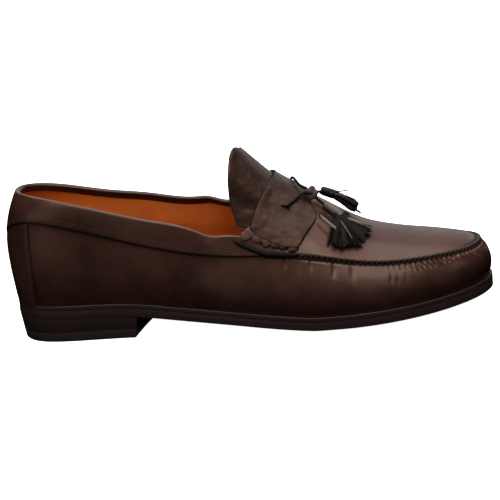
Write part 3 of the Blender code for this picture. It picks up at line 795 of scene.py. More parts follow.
def place_piece(name, bm, finish, node=None, sharp=50):
    """A finished piece: its mesh in the row frame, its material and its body."""
    bmesh.ops.remove_doubles(bm, verts=bm.verts, dist=1e-6)
    bmesh.ops.dissolve_degenerate(bm, edges=bm.edges, dist=1e-7)
    bmesh.ops.recalc_face_normals(bm, faces=bm.faces)
    bmesh.ops.translate(bm, verts=bm.verts, vec=Vector(-MIDDLE))
    mesh = bpy.data.meshes.new(name)
    bm.to_mesh(mesh)
    bm.free()
    mesh.shade_smooth()
    mesh.set_sharp_from_angle(angle=math.radians(sharp))
    obj = bpy.data.objects.new(name, mesh)
    bpy.context.scene.collection.objects.link(obj)
    for each in finish if isinstance(finish, tuple) else (finish,):
        mesh.materials.append(finish_of(each))
    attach(obj, "root")
    if node is not None:
        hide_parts(*([node] if isinstance(node, str) else node))
    return obj


def tube_lattice(points, radius, sides, flat=1.0, up=(0, 0, 1)):
    """Rings of points round a route, with a radius for each ring, a little flattened."""
    points = np.asarray(points, float)
    along = unit(np.gradient(points, axis=0))
    aside = unit(np.cross(along, np.asarray(up, float)))
    top = np.cross(aside, along)
    turn = np.linspace(0, 2 * math.pi, sides + 1)
    radius = np.broadcast_to(radius, len(points))[:, None, None]
    turn = turn[None, :, None]
    ring = aside[:, None] * np.cos(turn) + top[:, None] * np.sin(turn) * flat
    return points[:, None] + ring * radius


def rounded_radius(count, radius, share=0.12):
    """Radii along a thread or thong that closes softly at both ends."""
    t = np.linspace(0, 1, count)
    reach = np.clip(np.minimum(t, 1 - t) / share, 0, 1)
    return radius * np.sqrt(1 - (1 - reach) ** 2 * 0.98)


def add_lattice(bm, points, wear=0.0):
    """Adds a lattice to a bmesh that holds many small pieces."""
    rows, columns = points.shape[:2]
    layer = bm.verts.layers.float.get("wear") or bm.verts.layers.float.new("wear")
    made = bmesh.ops.create_grid(bm, x_segments=columns - 1, y_segments=rows - 1, size=0.5)["verts"]
    values = np.broadcast_to(wear, (rows, columns)).ravel()
    for vert, place, value in zip(made, points.reshape(-1, 3), values):
        vert.co = place
        vert[layer] = value
    bmesh.ops.remove_doubles(bm, verts=made, dist=1e-6)


def edge_drop(distance, radius):
    """How far a rounded edge falls below its surface, this far in from the edge."""
    reach = np.clip(1 - distance / radius, 0, 1)
    return radius * (1 - np.sqrt(np.maximum(1 - reach**2, 0)))


SEAM_LINE = np.linspace(0, RING, 3001)
SEAM_FAR = lengths_of(seam(SEAM_LINE))


def stitch_phase(stations, pitch):
    """How many stitch pitches round the seam each station is from the back of the heel."""
    return np.interp(np.mod(stations, RING), SEAM_LINE, SEAM_FAR) / pitch


def per_stitch(phase, seed, low, high):
    """One value drawn for each stitch, read at a phase."""
    draws = np.random.default_rng(seed).uniform(low, high, 400)
    return draws[np.round(phase).astype(int) % 400]


RIDGE_HALF = 0.0011  # half the width of the raised apron seam
PUCKER_REACH = 0.0100  # how far the longest pucker runs below the seam

# Soft creases below the seam on each side: x from the heel, how far below the seam the
# middle is, half the length down the wall, half the width, and the depth, in metres
OUTER_CREASES = (
    (0.1712, 0.0040, 0.0040, 0.0011, 0.0005),
    (0.1790, 0.0055, 0.0050, 0.0016, 0.0003),
    (0.1866, 0.0042, 0.0042, 0.0012, 0.0005),
    (0.2005, 0.0060, 0.0052, 0.0014, 0.0006),
    (0.2120, 0.0070, 0.0060, 0.0020, 0.0004),
    (0.2350, 0.0125, 0.0040, 0.0009, 0.0003),
    (0.2390, 0.0132, 0.0036, 0.0009, 0.0003),
    (0.2445, 0.0128, 0.0036, 0.0009, 0.0002),
    (0.1150, 0.0160, 0.0150, 0.0100, 0.0006),
    (0.0620, 0.0140, 0.0120, 0.0090, 0.0005),
)
INNER_CREASES = (
    (0.1740, 0.0045, 0.0042, 0.0013, 0.0005),
    (0.1890, 0.0050, 0.0048, 0.0014, 0.0005),
    (0.2060, 0.0065, 0.0055, 0.0017, 0.0005),
    (0.2290, 0.0085, 0.0050, 0.0014, 0.0004),
    (0.1240, 0.0170, 0.0150, 0.0110, 0.0006),
)


def crease_field(points, below, creases):
    """Soft troughs across the upper, as a depth for each point."""
    depth = np.zeros(below.shape)
    for x, down, half_long, half_wide, deep in creases:
        across_crease = (points[..., 0] - x) / half_wide
        down_crease = (below - down) / half_long
        depth += deep * np.exp(-(across_crease**2) - down_crease**2)
    return depth


def wall_detail(points, stations, below, pucker):
    """Puckers and creases on the wall, as a lift for each point."""
    phase = stitch_phase(stations, APRON_PITCH)
    x = seam(stations)[:, 0] / LENGTH
    gathered = pucker * (ease(x, 0.58, 0.66) * 0.30 + ease(x, 0.74, 0.86) * 0.70)
    depth = gathered * per_stitch(phase, 3, 0.55, 1.25)
    reach = PUCKER_REACH * per_stitch(phase, 5, 0.5, 1.0) * (0.40 + 0.75 * ease(x, 0.74, 0.86))
    fold = (0.5 + 0.5 * np.cos(2 * math.pi * phase)) ** 1.6 - 0.35
    fade = ease(below, 0.0006, 0.0018) * (1 - ease(below / reach[None], 0.45, 1.0))
    outer = stations <= STATIONS
    crease = np.where(
        outer[None],
        crease_field(points, below, OUTER_CREASES),
        crease_field(points, below, INNER_CREASES),
    )
    return -depth[None] * fold[None] * fade - crease


def ridge_lift(stations, away):
    """The raised seam across its width, pulled in a little at each stitch."""
    phase = stitch_phase(stations, APRON_PITCH)
    notch = 1 - 0.45 * (0.5 + 0.5 * np.cos(2 * math.pi * phase)) ** 2
    crest = np.exp(-((away / RIDGE_HALF) ** 4))
    groove = 0.22 * np.exp(-(((away - 2.1 * RIDGE_HALF) / (0.6 * RIDGE_HALF)) ** 2))
    return SEAM_RISE * seam_share(stations)[None] * (crest * notch[None] - groove)


def fine_stations():
    """Columns round the upper: close together over the forepart, wider apart at the heel."""
    heel = np.arange(0, FOREPART_START, 1 / 9)
    toe = np.arange(FOREPART_START, STATIONS, 1 / 38)
    half = np.concatenate([heel, toe, [STATIONS]])
    return np.concatenate([half, RING - half[-2::-1]])


FOREPART_START = 7  # station where the closer columns start
APRON_PITCH = 0.0034  # from one whip stitch of the apron seam to the next
CALF_THICK = 0.0009  # the outer leather alone


def build_wall(pucker):
    """The vamp and quarters: from the sole up to the crest of the seam."""
    stations = fine_stations()
    shares = np.linspace(1, 0, 46) ** 1.35
    base = wall_rows(stations, 1 - shares)
    below = np.linalg.norm(base - base[-1:], axis=-1)
    lift = wall_detail(base, stations, below, pucker)
    normal = normals_of(base)
    seam_way = unit(outward_flat(stations) * 0.45 + np.array([0, 0, 0.9]))
    top = base + normal * lift[..., None] + seam_way * ridge_lift(stations, below)[..., None]
    inner = base - normal * CALF_THICK
    x = base[..., 0] / LENGTH
    low = 1 - ease(shares, 0.25, 0.95)[:, None]
    # Painted shade: darker towards the sole, at the toe tip and at the back of the heel, where the
    # wall turns away
    burnish = 0.55 * (1 - low) + 0.35 * ease(x, 0.93, 0.99) + 0.25 * (1 - ease(x, 0.0, 0.05))
    # Painted shadow under the collar band's lower edge, and painted shade along the crest of the apron
    # seam
    under_band = np.exp(-((below / 0.0014) ** 2)) * (1 - seam_share(stations))[None]
    crest = np.exp(-((below / 0.0015) ** 4)) * seam_share(stations)[None]
    burnish = np.maximum(burnish, 0.9 * np.maximum(under_band, crest))
    # Painted highlight: a lighter band just below the apron seam over the forepart
    wear = 0.10 * np.exp(-(((below - 0.004) / 0.004) ** 2)) * ease(x, 0.75, 0.9)
    bm = lattice_mesh(top, inner, wear=wear, burnish=np.clip(burnish, 0, 1))
    place_piece("vamp_and_quarters", bm, "polished_calf", "upper")


def build_apron():
    """The apron with the quarters' tops: from the crest of the seam to the opening."""
    stations = fine_stations()
    alongs = np.linspace(0, 1, 50) ** 1.7
    base = cover_rows(stations, alongs)
    away = np.linalg.norm(base - base[:1], axis=-1)
    normal = normals_of(base)
    seam_way = unit(outward_flat(stations) * 0.45 + np.array([0, 0, 0.9]))
    top = base + seam_way * ridge_lift(stations, away)[..., None]
    inner = base - normal * CALF_THICK
    # Painted shade along the crest of the apron seam, and a slight painted highlight over the whole
    # apron and the quarters' tops
    burnish = 0.9 * np.exp(-((away / 0.0016) ** 4)) * seam_share(stations)[None]
    bm = lattice_mesh(top, inner, wear=0.05, burnish=burnish)
    place_piece("apron", bm, "polished_calf", "upper")


def build_lining():
    """The tan lining behind the whole upper."""
    stations = np.linspace(0, RING, 241)
    base = np.concatenate(
        [
            wall_rows(stations, np.linspace(0, 0.96, 16)),
            cover_rows(stations, np.linspace(0.02, 1, 20)),
        ]
    )
    outer = raised(base, -CALF_THICK - 0.0001, closed=True)
    inner = raised(base, -WALL, closed=True)
    place_piece("lining", lattice_mesh(outer, inner), "tan_lining")


BAND_STANDS = GAP + BAND_THICK  # outside of the collar band over the upper
FACING = 0.0034  # how far the collar's leather turns down inside the shoe
RIM_ROWS = 9


def band_lattice(stations):
    """The collar band's skin: up the outside, over the rim and down the facing inside."""
    alongs = np.concatenate([np.linspace(0, 0.12, 6), np.linspace(0.16, 1, 18)])
    base = cover_rows(stations, alongs)
    normal = normals_of(base)
    rise = np.linalg.norm(base - base[:1], axis=-1)
    outside = base + normal * (BAND_STANDS - edge_drop(rise, 0.0004))[..., None]
    edge = base[-1]
    side = normal[-1]
    up = unit(base[-1] - base[-3])
    half = (BAND_STANDS + WALL + 2 * GAP) / 2
    centre = edge + side * (BAND_STANDS - half)
    turn = np.linspace(0, math.pi, RIM_ROWS)[1:-1, None, None]
    rim = centre + side * half * np.cos(turn) + up * half * 0.75 * np.sin(turn)
    down = np.linspace(0, FACING, 6)[:, None, None]
    facing = centre - side * half - up * down + side * 0.0003 * ease(down / FACING, 0.7, 1.0)
    lattice = np.concatenate([outside, rim, facing])
    top_rows = len(outside) + len(rim) / 2
    rows = np.arange(len(lattice))
    near = ease(stations, -1.0, 1.0)[None]
    # The rim is lighter: rubbed wear, with painted highlight that makes it stronger on the near side
    wear = 0.38 * np.exp(-(((rows - top_rows + 2) / 1.3) ** 2))[:, None] * (0.15 + 0.85 * near)
    # A slight even darkening, and painted shade over the rim and facing on the far side
    burnish = 0.10 + 0.75 * (1 - near) * (rows > top_rows - 4)[:, None]
    low_edge = np.exp(-((rise / 0.0006) ** 4))[rows.clip(0, len(rise) - 1)]
    burnish = np.maximum(burnish, low_edge * (rows < 4)[:, None])
    return lattice, rise, wear, burnish


def build_band():
    """The collar band round the top line, turned over the rim."""
    stations = np.arange(-BAND_END, BAND_END + 0.01, 1 / 14)
    lattice, _, wear, burnish = band_lattice(stations)
    under = lattice - normals_of(lattice) * 0.0008
    bm = lattice_mesh(lattice, under, wear=wear, burnish=burnish)
    mark_edges(bm)
    place_piece("topline_band", bm, ("polished_calf", "raw_edge"), "collar_band")


def build_back_strip():
    """The strip up the back of the heel."""
    stations = np.linspace(-STRIP_HALF, STRIP_HALF, 41)
    base = wall_rows(stations, np.linspace(0, 0.985, 44))
    normal = normals_of(base)
    reach = np.minimum(
        np.linalg.norm(base - base[:, :1], axis=-1), np.linalg.norm(base - base[:, -1:], axis=-1)
    )
    top = base + normal * (BAND_STANDS - 0.0003 - edge_drop(reach, 0.0006))[..., None]
    burnish = 0.12 + 0.88 * np.exp(-((reach / 0.0006) ** 4))
    bm = lattice_mesh(top, base + normal * 0.0001, wear=0.0, burnish=burnish)
    mark_edges(bm)
    place_piece("back_strip", bm, ("polished_calf", "raw_edge"), "heel_strip")


def soft_column(share, table, column, blur):
    """A column read at each share, with its corners rounded."""
    shares = [row[0] for row in table]
    values = [row[column] for row in table]
    steps = np.linspace(-blur, blur, 15)
    read = [np.interp(np.abs(share + step), shares, values) for step in steps]
    return np.mean(read, axis=0)


def instep_sheet(table, columns, rows, front=None, blur=0.05, inner_trim=0.0):
    """x, y and the signed share across for a piece that lies over the instep."""
    widest = table[-1][0]
    share = widest * np.sin(np.linspace(-math.pi / 2, math.pi / 2, columns))
    rear = soft_column(share, table, 1, blur) + inner_trim * ease(share, 0.0, 0.4)
    rear = rear * LENGTH
    ahead = soft_column(share, table, 2, blur) * LENGTH if front is None else front * LENGTH
    along = np.linspace(0, 1, rows)[:, None]
    x = rear + (ahead - rear) * along
    outer = side_place(x, np.abs(share), True)
    inner = side_place(x, np.abs(share), False)
    return x, np.where(share < 0, outer, inner), share + 0 * x


def border_distance(points):
    """How far each point of a sheet is from the nearest of its four borders."""
    away = [
        np.linalg.norm(points - border, axis=-1)
        for border in (points[:1], points[-1:], points[:, :1], points[:, -1:])
    ]
    return np.min(away, axis=0)


def build_tongue():
    """The tongue: calf on top, lining behind, rising behind the throat."""
    x, y, share = instep_sheet(TONGUE, 110, 60, TONGUE_FRONT, 0.05, TONGUE_INNER_TRIM)
    edge = opening(np.linspace(0, RING, FINE))
    sides = edge[np.argsort(edge[:, 1])]
    sides = sides[sides[:, 0] > 0.44 * LENGTH]
    throat = np.interp(y, sides[:, 1], sides[:, 0])
    free = ease(throat - x, 0.002, 0.009) * (1 - ease(np.abs(share), 0.55, 0.75))
    depth = (WALL + TONGUE_GAP) * (1 - free)
    away = border_distance(instep_point(x, y, 0 * x))
    round_off = edge_drop(away, TONGUE_THICK / 3)
    top = instep_point(x, y, -depth - round_off)
    skived = 0.0011 * np.exp(-((away / 0.0050) ** 2))
    under = instep_point(x, y, -depth - TONGUE_THICK + skived)
    lining_top = instep_point(x, y, -depth - TONGUE_THICK + 0.0002)
    lining_low = instep_point(x, y, -depth - TONGUE_THICK - 0.0003)
    bm = lattice_mesh(top, under, wear=0.03, burnish=np.exp(-((away / 0.0004) ** 4)))
    mark_edges(bm)
    place_piece("tongue_leather", bm, ("strap_calf", "raw_edge"), "tongue")
    bm = lattice_mesh(lining_top[7:, 12:-12], lining_low[7:, 12:-12])
    place_piece("tongue_lining", bm, "tan_lining")


SLIT_HALF = 0.0030  # half the length of a lace slit
SLIT_WIDE = 0.0005
SLIT_DEEP = 0.0011


def slit_depth(points, middle, along):
    """A cut in the strap round a place, running this way, as a depth for each point."""
    apart = points - middle
    length = np.abs((apart * along).sum(axis=-1)) / SLIT_HALF
    beside = np.linalg.norm(apart - (apart * along).sum(axis=-1)[..., None] * along, axis=-1)
    mouth = np.exp(-((beside / SLIT_WIDE) ** 2)) * (1 - ease(length, 0.7, 1.1))
    lip = 0.22 * np.exp(-(((beside - 0.0012) / 0.0006) ** 2)) * (1 - ease(length, 0.8, 1.3))
    return SLIT_DEEP * (mouth - lip), mouth


def build_strap():
    """The saddle strap with a slit for each end of the lace."""
    x, y, share = instep_sheet(STRAP, 300, 74, blur=0.03)
    lap = (BAND_THICK + GAP) * ease(np.abs(share), 0.66, 0.80)
    lift = STRAP_GAP + lap
    base = instep_point(x, y, lift)
    away = border_distance(base)
    top = instep_point(x, y, lift + STRAP_THICK - edge_drop(away, 0.0004))
    burnish = np.exp(-((away / 0.0007) ** 4))
    normal = unit(top - base + 1e-9)
    for route in (NEAR_LACE, FAR_LACE):
        middle = instep_place((*route[0][:2], 0.0022))
        uphill = instep_place((route[0][0] + 0.004, route[0][1], 0.0022))
        along = unit(uphill - middle)
        deep, mouth = slit_depth(top, middle, along)
        top = top - normal * deep[..., None]
        # Painted shade inside each lace slit
        burnish = np.maximum(burnish, mouth)
    bm = lattice_mesh(top, base, wear=0.04, burnish=np.clip(burnish, 0, 1))
    mark_edges(bm)
    place_piece("saddle", bm, ("strap_calf", "raw_edge"), "saddle_strap")


def lace_route(rows, lift, head):
    """A lace's points from its slit over the strap, through the knot, to a tassel's head."""
    x, y, knot_lift = KNOT_PLACE
    places = [instep_place(row) for row in rows]
    places.append(instep_place((x, y, knot_lift + lift)))
    places.append(instep_place(head))
    places = np.array(places)
    far = lengths_of(places)
    steps = np.linspace(0, far[-1], 34)
    return spline(far, places, steps)


def build_laces():
    """The thong's two ends, from the slits through the knot to the tassels."""
    ends = (
        ("near_thong", "near_lace", NEAR_LACE, FAR_TASSEL, 0.0006, "far_fringe"),
        ("far_thong", "far_lace", FAR_LACE, NEAR_TASSEL, -0.0006, "near_fringe"),
    )
    for name, node, rows, tassel, lift, fringe in ends:
        root = np.array(tassel["head"]) * 0.8 + np.array(tassel["end"]) * 0.2
        places = lace_route(rows, lift, root) - MIDDLE
        curve = bpy.data.curves.new(name, "CURVE")
        curve.dimensions = "3D"
        curve.bevel_depth = LACE_RADIUS
        curve.bevel_resolution = 3
        curve.use_fill_caps = True
        run = curve.splines.new("POLY")
        run.points.add(len(places) - 1)
        for point, place in zip(run.points, places):
            point.co = (*place, 1)
        curve.materials.append(finish_of("cut_thong"))
        obj = bpy.data.objects.new(name, curve)
        bpy.context.scene.collection.objects.link(obj)
        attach(obj, "root")
        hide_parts(node)


def build_knot():
    """The knot: the thong crosses over and under itself in three tight bights."""
    t = np.linspace(0, 2 * math.pi, 91)
    loop = np.stack(
        [np.sin(t) + 2 * np.sin(2 * t), np.cos(t) - 2 * np.cos(2 * t), -1.25 * np.sin(3 * t)],
        axis=-1,
    )
    along, wide, tall = KNOT_SIZE
    radius = 0.00155
    loop *= np.array([(along - radius) / 2.4, (wide - radius) / 2.4, (tall - radius) / 1.25])
    heading = unit(instep_place(FAR_TASSEL["end"]) - instep_place(NEAR_LACE[0]))
    up = unit(instep_place((*KNOT_PLACE[:2], 0.006)) - instep_place((*KNOT_PLACE[:2], 0.0)))
    aside = unit(np.cross(up, heading))
    up = np.cross(heading, aside)
    frame_axes = np.stack([heading, aside, up])
    places = instep_place(KNOT_PLACE) + loop @ frame_axes
    # Painted highlight: the knot is paler than the laces of the same thong
    bm = lattice_mesh(tube_lattice(places, radius, 12, up=(0.31, 0.17, 0.94)), wear=0.35)
    place_piece("thong_knot", bm, "cut_thong", "lace_knot")


STRIP_PATH = 22  # points along a cut strip
FRINGE = 36  # strips on a tassel, in three layers

# Strips that stand clear of the fan: three places along each, in x, y and height above
# the apron, then the strip's width and how pale its face is
LOOSE_STRIPS = {
    "near_fringe": (
        ((0.1934, -0.0223, 0.0040), (0.1991, -0.0263, 0.0052), (0.2046, -0.0283, 0.0050), 0.0021, 0.9),
        ((0.2027, -0.0205, 0.0060), (0.2074, -0.0266, 0.0068), (0.2116, -0.0309, 0.0056), 0.0007, 0.8),
        ((0.2039, -0.0193, 0.0062), (0.2147, -0.0178, 0.0062), (0.2263, -0.0166, 0.0040), 0.0028, 0.9),
    ),
    "far_fringe": (
        ((0.1984, -0.0031, 0.0080), (0.2044, 0.0002, 0.0090), (0.2112, 0.0066, 0.0080), 0.0024, 0.45),
        ((0.1989, -0.0040, 0.0085), (0.2034, -0.0005, 0.0115), (0.2072, 0.0040, 0.0130), 0.0006, 0.1),
        ((0.2040, -0.0010, 0.0066), (0.2127, -0.0008, 0.0052), (0.2197, 0.0033, 0.0034), 0.0036, 0.0),
    ),
}


HEAD_SIDES = 49  # points round a tassel's head


def head_lattice(head, end):
    """The rolled head: a tight roll of calf with its free edge showing as a step."""
    turn = np.linspace(0, 2 * math.pi, HEAD_SIDES)
    share = np.linspace(0, 1, 26)
    along = unit(end - head)
    aside = unit(np.cross(along, np.array([0, 0, 1.0])))
    up = np.cross(aside, along)
    roll = 1 - 0.10 * (turn / (2 * math.pi))
    tie = 0.10 * np.exp(-(((share - 0.82) / 0.035) ** 2))
    tie += 0.07 * np.exp(-(((share - 0.10) / 0.04) ** 2))
    cap = np.sqrt(np.clip(1 - (1 - np.clip(share / 0.06, 0, 1)) ** 2, 0.02, 1))
    cap *= np.sqrt(np.clip(1 - (1 - np.clip((1 - share) / 0.05, 0, 1)) ** 2, 0.3, 1))
    radius = TASSEL_HEAD * (1 - tie) * cap * (0.94 + 0.08 * share)
    ring = aside * np.cos(turn)[:, None] + up * np.sin(turn)[:, None]
    centre = head + (end - head) * share[:, None]
    return centre[:, None] + ring[None] * (radius[:, None] * roll[None])[..., None]


def cut_strip(tassel, share, lift, length, layer):
    """The middle line and sides of one cut strip, from inside the head to its cut end."""
    head, end = (np.array(tassel[key]) for key in ("head", "end"))
    root = head + (end - head) * (0.25 + 0.45 * share)
    root_turn = math.atan2(end[1] - head[1], end[0] - head[0])
    first, last = tassel["turns"]
    steps = np.linspace(0, 1, STRIP_PATH)
    turns = root_turn + (first + (last - first) * share - root_turn) * ease(steps, 0.02, 0.5)
    turns = turns + 0.10 * np.sin(3.1 * steps + 5.0 * share) * steps
    along = np.stack([np.cos(turns), np.sin(turns)], axis=-1)
    aside = np.stack([-along[:, 1], along[:, 0]], axis=-1)
    walked = np.cumsum(along[:-1] + along[1:], axis=0) / 2 * length / (STRIP_PATH - 1)
    start = root[:2] + aside[0] * (share - 0.5) * 2.6 * ROOT_SPREAD
    plan = start + np.concatenate([np.zeros((1, 2)), walked])
    root_lift = root[2] + layer * 0.0011
    lifts = root_lift + (lift - root_lift) * ease(steps, 0.25, 1.0)
    lifts = lifts + 0.0007 * np.sin(math.pi * steps) * (0.5 + 0.5 * layer)
    return plan, aside, lifts


STRIP_RING = (
    (-0.5, -0.7),
    (-0.5, 0.5),
    (-0.42, 1.0),
    (0.0, 1.12),
    (0.42, 1.0),
    (0.5, 0.5),
    (0.5, -0.7),
    (0.42, -1.0),
    (-0.42, -1.0),
    (-0.5, -0.7),
)


def add_strip(bm, plan, aside, lifts, width, twist, wear):
    """Adds one cut strip as a thin flat strap with soft corners, along a way over the apron."""
    steps = np.linspace(0, 1, STRIP_PATH)
    middle = instep_point(plan[:, 0], plan[:, 1], lifts)
    beside = plan + aside * 0.001
    across_strip = unit(instep_point(beside[:, 0], beside[:, 1], lifts) - middle)
    along = unit(np.gradient(middle, axis=0))
    up = unit(np.cross(along, across_strip))
    lean = (twist * ease(steps, 0.3, 1.0))[:, None]
    across_strip, up = (
        across_strip * np.cos(lean) + up * np.sin(lean),
        up * np.cos(lean) - across_strip * np.sin(lean),
    )
    half_thick = STRIP_THICK / 2 * 0.6
    close = np.sqrt(np.clip(1 - (1 - np.clip((1 - steps) / 0.03, 0, 1)) ** 2, 0.05, 1))
    columns = [
        middle + across_strip * (a * width)[:, None] + up * (b * half_thick * close)[:, None]
        for a, b in STRIP_RING
    ]
    add_lattice(bm, np.stack(columns, axis=1), wear)


def add_loose_strip(bm, start, middle, end, wide, pale):
    """Adds a strip that stands clear of the fan, pointed at both ends."""
    steps = np.linspace(0, 1, STRIP_PATH)
    way = spline([0, 0.5, 1], [start, middle, end], steps)
    heading = unit(np.gradient(way[:, :2], axis=0))
    aside = np.stack([-heading[:, 1], heading[:, 0]], axis=-1)
    width = wide * np.clip(np.minimum(0.35 + steps / 0.2, (1.15 - steps) / 0.3), 0, 1)
    add_strip(bm, way[:, :2], aside, way[:, 2], width, 0.2, pale)


def build_tassel(name, node, tassel, seed, head_highlight):
    """A rolled head and its fan of cut strips, in three layers."""
    head, end = (instep_place(tassel[key]) for key in ("head", "end"))
    bm = bmesh.new()
    # Painted highlight: each head is paler on its upper side, more so on the near tassel
    lit = np.maximum(0, np.sin(np.linspace(0, 2 * math.pi, HEAD_SIDES)))[None]
    add_lattice(bm, head_lattice(head, end), head_highlight * (0.15 + 0.85 * lit))
    draw = np.random.default_rng(seed)
    low, high = tassel["lifts"]
    steps = np.linspace(0, 1, STRIP_PATH)
    for i in range(FRINGE):
        share = np.clip((i / (FRINGE - 1)) ** 0.75 + draw.uniform(-0.02, 0.02), 0, 1)
        layer = (i % 3) - 1
        lift = low + (high - low) * np.clip(0.5 + 0.42 * layer + draw.uniform(-0.12, 0.12), 0, 1)
        length = tassel["length"] * draw.uniform(0.88, 1.0)
        plan, aside, lifts = cut_strip(tassel, share, lift, length, layer)
        width = STRIP_WIDTH * (0.85 + 0.5 * ease(steps, 0.1, 0.5))
        width *= 0.92 + 0.12 * math.sin(9 * share)
        add_strip(bm, plan, aside, lifts, width, draw.uniform(-0.9, 0.9), draw.uniform(0, 0.03))
    for start, middle, far, wide, pale in LOOSE_STRIPS[name]:
        add_loose_strip(bm, start, middle, far, wide, pale)
    bmesh.ops.holes_fill(bm, edges=[e for e in bm.edges if len(e.link_faces) == 1], sides=0)
    place_piece(name, bm, "cut_thong", node, sharp=60)


SOLE_STATIONS = np.arange(0, STATIONS + 0.01, 0.125)
SOLE_RING = np.arange(0, RING + 0.01, 0.125)
ACROSS_PLATE = np.linspace(-1, 1, 21)
SEAT_GAP = 0.0001  # sole pieces are pressed together


def plate_plan(stations, inset, lead=1.0):
    """Rows across the sole, one a station, from the outer side to the inner side."""
    share = (ACROSS_PLATE[None, :, None] + 1) / 2
    left = inset_outline(stations, inset)[:, None]
    right = inset_outline(RING - lead * stations, inset)[:, None]
    return left + (right - left) * share


def rounded_rim(bm, radius):
    """Rounds the sharp rims of a plate."""
    rims = [e for e in bm.edges if len(e.link_faces) == 2 and e.calc_face_angle() > math.radians(55)]
    bmesh.ops.bevel(
        bm, geom=rims, offset=radius, segments=3, profile=0.5, affect="EDGES", material=-1,
        clamp_overlap=True,
    )


def plate(top, bottom, radius):
    bm = lattice_mesh(top, bottom)
    bmesh.ops.dissolve_degenerate(bm, edges=bm.edges, dist=1e-6)
    bmesh.ops.recalc_face_normals(bm, faces=bm.faces)
    rounded_rim(bm, radius)
    return bm


def build_sole():
    """The outsole and the welt, with rounded and inked edges."""
    plan = plate_plan(SOLE_STATIONS, 0.0 * SOLE_STATIONS)
    low = underside(plan)
    bm = plate(at_height(plan, low + OUTSOLE_THICK), at_height(plan, low), 0.0003)
    place_piece("outsole_leather", bm, "inked_edge", "outsole")
    inner = inset_outline(SOLE_RING, np.full_like(SOLE_RING, WELT_WIDTH))
    ring = np.stack([outline(SOLE_RING) + (inner - outline(SOLE_RING)) * s for s in (0, 0.1, 0.3, 1)])
    top = feather_height(ring)
    bm = plate(at_height(ring, top), at_height(ring, top - WELT_THICK - GAP + SEAT_GAP), 0.0003)
    place_piece("welt_leather", bm, "inked_edge", "welt")


def heel_lattice(stations, z):
    """The heel's outline at a height, hollowed at its front and drawn in towards the floor."""
    plan = plate_plan(stations, 0.0 * stations, BREAST_SLANT)
    hollow = BREAST_HOLLOW * (stations / stations.max()) ** 8
    plan[..., 0] -= hollow[:, None] * (1 - ACROSS_PLATE**2)[None, :]
    z = z(plan)
    drawn = HEEL_TAPER / (HEEL_WIDTH / 2) * (1 - z / HEEL_LIFT)[..., None]
    middle = np.array([HEEL_LENGTH / 2, 0])
    return at_height(plan + (middle - plan) * drawn, z)


def build_heel():
    """The heel stack under the seat, and the rubber top lift that touches the floor."""
    samples = np.linspace(0, STATIONS, FINE)
    end = np.interp(HEEL_LENGTH, outline(samples)[:, 0], samples)
    stations = np.append(SOLE_STATIONS[SOLE_STATIONS < end - 0.05], end)
    seat = heel_lattice(stations, lambda plan: underside(plan) - SEAT_GAP)
    joint = heel_lattice(stations, lambda plan: 0 * plan[..., 0] + TOP_LIFT_THICK + SEAT_GAP)
    place_piece("stacked_heel", plate(seat, joint, 0.0002), "inked_edge", "heel_stack")
    tread = heel_lattice(stations, lambda plan: 0 * plan[..., 0])
    joint = heel_lattice(stations, lambda plan: 0 * plan[..., 0] + TOP_LIFT_THICK)
    bm = plate(joint, tread, 0.0004)
    place_piece("rubber_top_lift", bm, "moulded_rubber", "heel_top_lift")


def build_sock():
    """The insole with its tan sock lining."""
    x = outline(SOLE_STATIONS)[:, 0] / LENGTH
    margin = MARGIN_HEEL + (MARGIN_BALL - MARGIN_HEEL) * ease(x, 0.2, 0.6)
    plan = plate_plan(SOLE_STATIONS, margin + WALL + 2 * GAP)
    low = feather_height(plan) + GAP
    bm = plate(at_height(plan, low + INSOLE_THICK), at_height(plan, low), 0.0006)
    place_piece("sock_lining", bm, "tan_lining", "insole")


def add_stitch(bm, place, along, up, length, radius):
    """Adds one stitch of a running seam: a short thread that dives in at both ends."""
    share = np.linspace(-1, 1, 6)[:, None]
    points = place + along * share * length / 2 - up * radius * 1.3 * share**2
    add_lattice(bm, tube_lattice(points, rounded_radius(6, radius, 0.3), 6, up=up))


def stitch_row(bm, line, normals, pitch, length, radius, lift):
    """Running stitches along a line that lies on a surface."""
    far = lengths_of(line)
    place, along = even_places(line, pitch, pitch / 2)
    at = np.arange(pitch / 2, far[-1], pitch)
    up = unit(np.stack([np.interp(at, far, normals[:, i]) for i in range(3)], axis=-1))
    for spot, way, normal in zip(place, along, up):
        add_stitch(bm, spot + normal * lift, way, normal, length, radius)


def lattice_line(lattice, rise, height_up):
    """The line and its normals that run round a lattice this far above its first row."""
    normal = normals_of(lattice)
    line = []
    ways = []
    for column in range(lattice.shape[1]):
        row = np.interp(height_up, rise[:, column], np.arange(len(rise)))
        low, share = int(row), row - int(row)
        line.append(lattice[low, column] * (1 - share) + lattice[low + 1, column] * share)
        ways.append(normal[low, column])
    return np.array(line), np.array(ways)


def build_band_stitches(pitch, radius):
    """Two rows of stitches above the collar band's lower edge."""
    stations = np.arange(-BAND_END, BAND_END + 0.01, 1 / 14)
    lattice, rise = band_lattice(stations)[:2]
    bm = bmesh.new()
    for height_up in (0.0022, 0.0036):
        line, ways = lattice_line(lattice[: len(rise)], rise, height_up)
        stitch_row(bm, line, ways, pitch, pitch * 0.72, radius, -radius * 0.1)
    place_piece("band_stitches", bm, "seam_thread")


WHIP_AWAY = (0.0030, 0.0020, 0.0011, 0.0004)  # a whip stitch's points, from the seam's crest
WHIP_SKEW = 0.0016  # how far along the seam a whip stitch leans


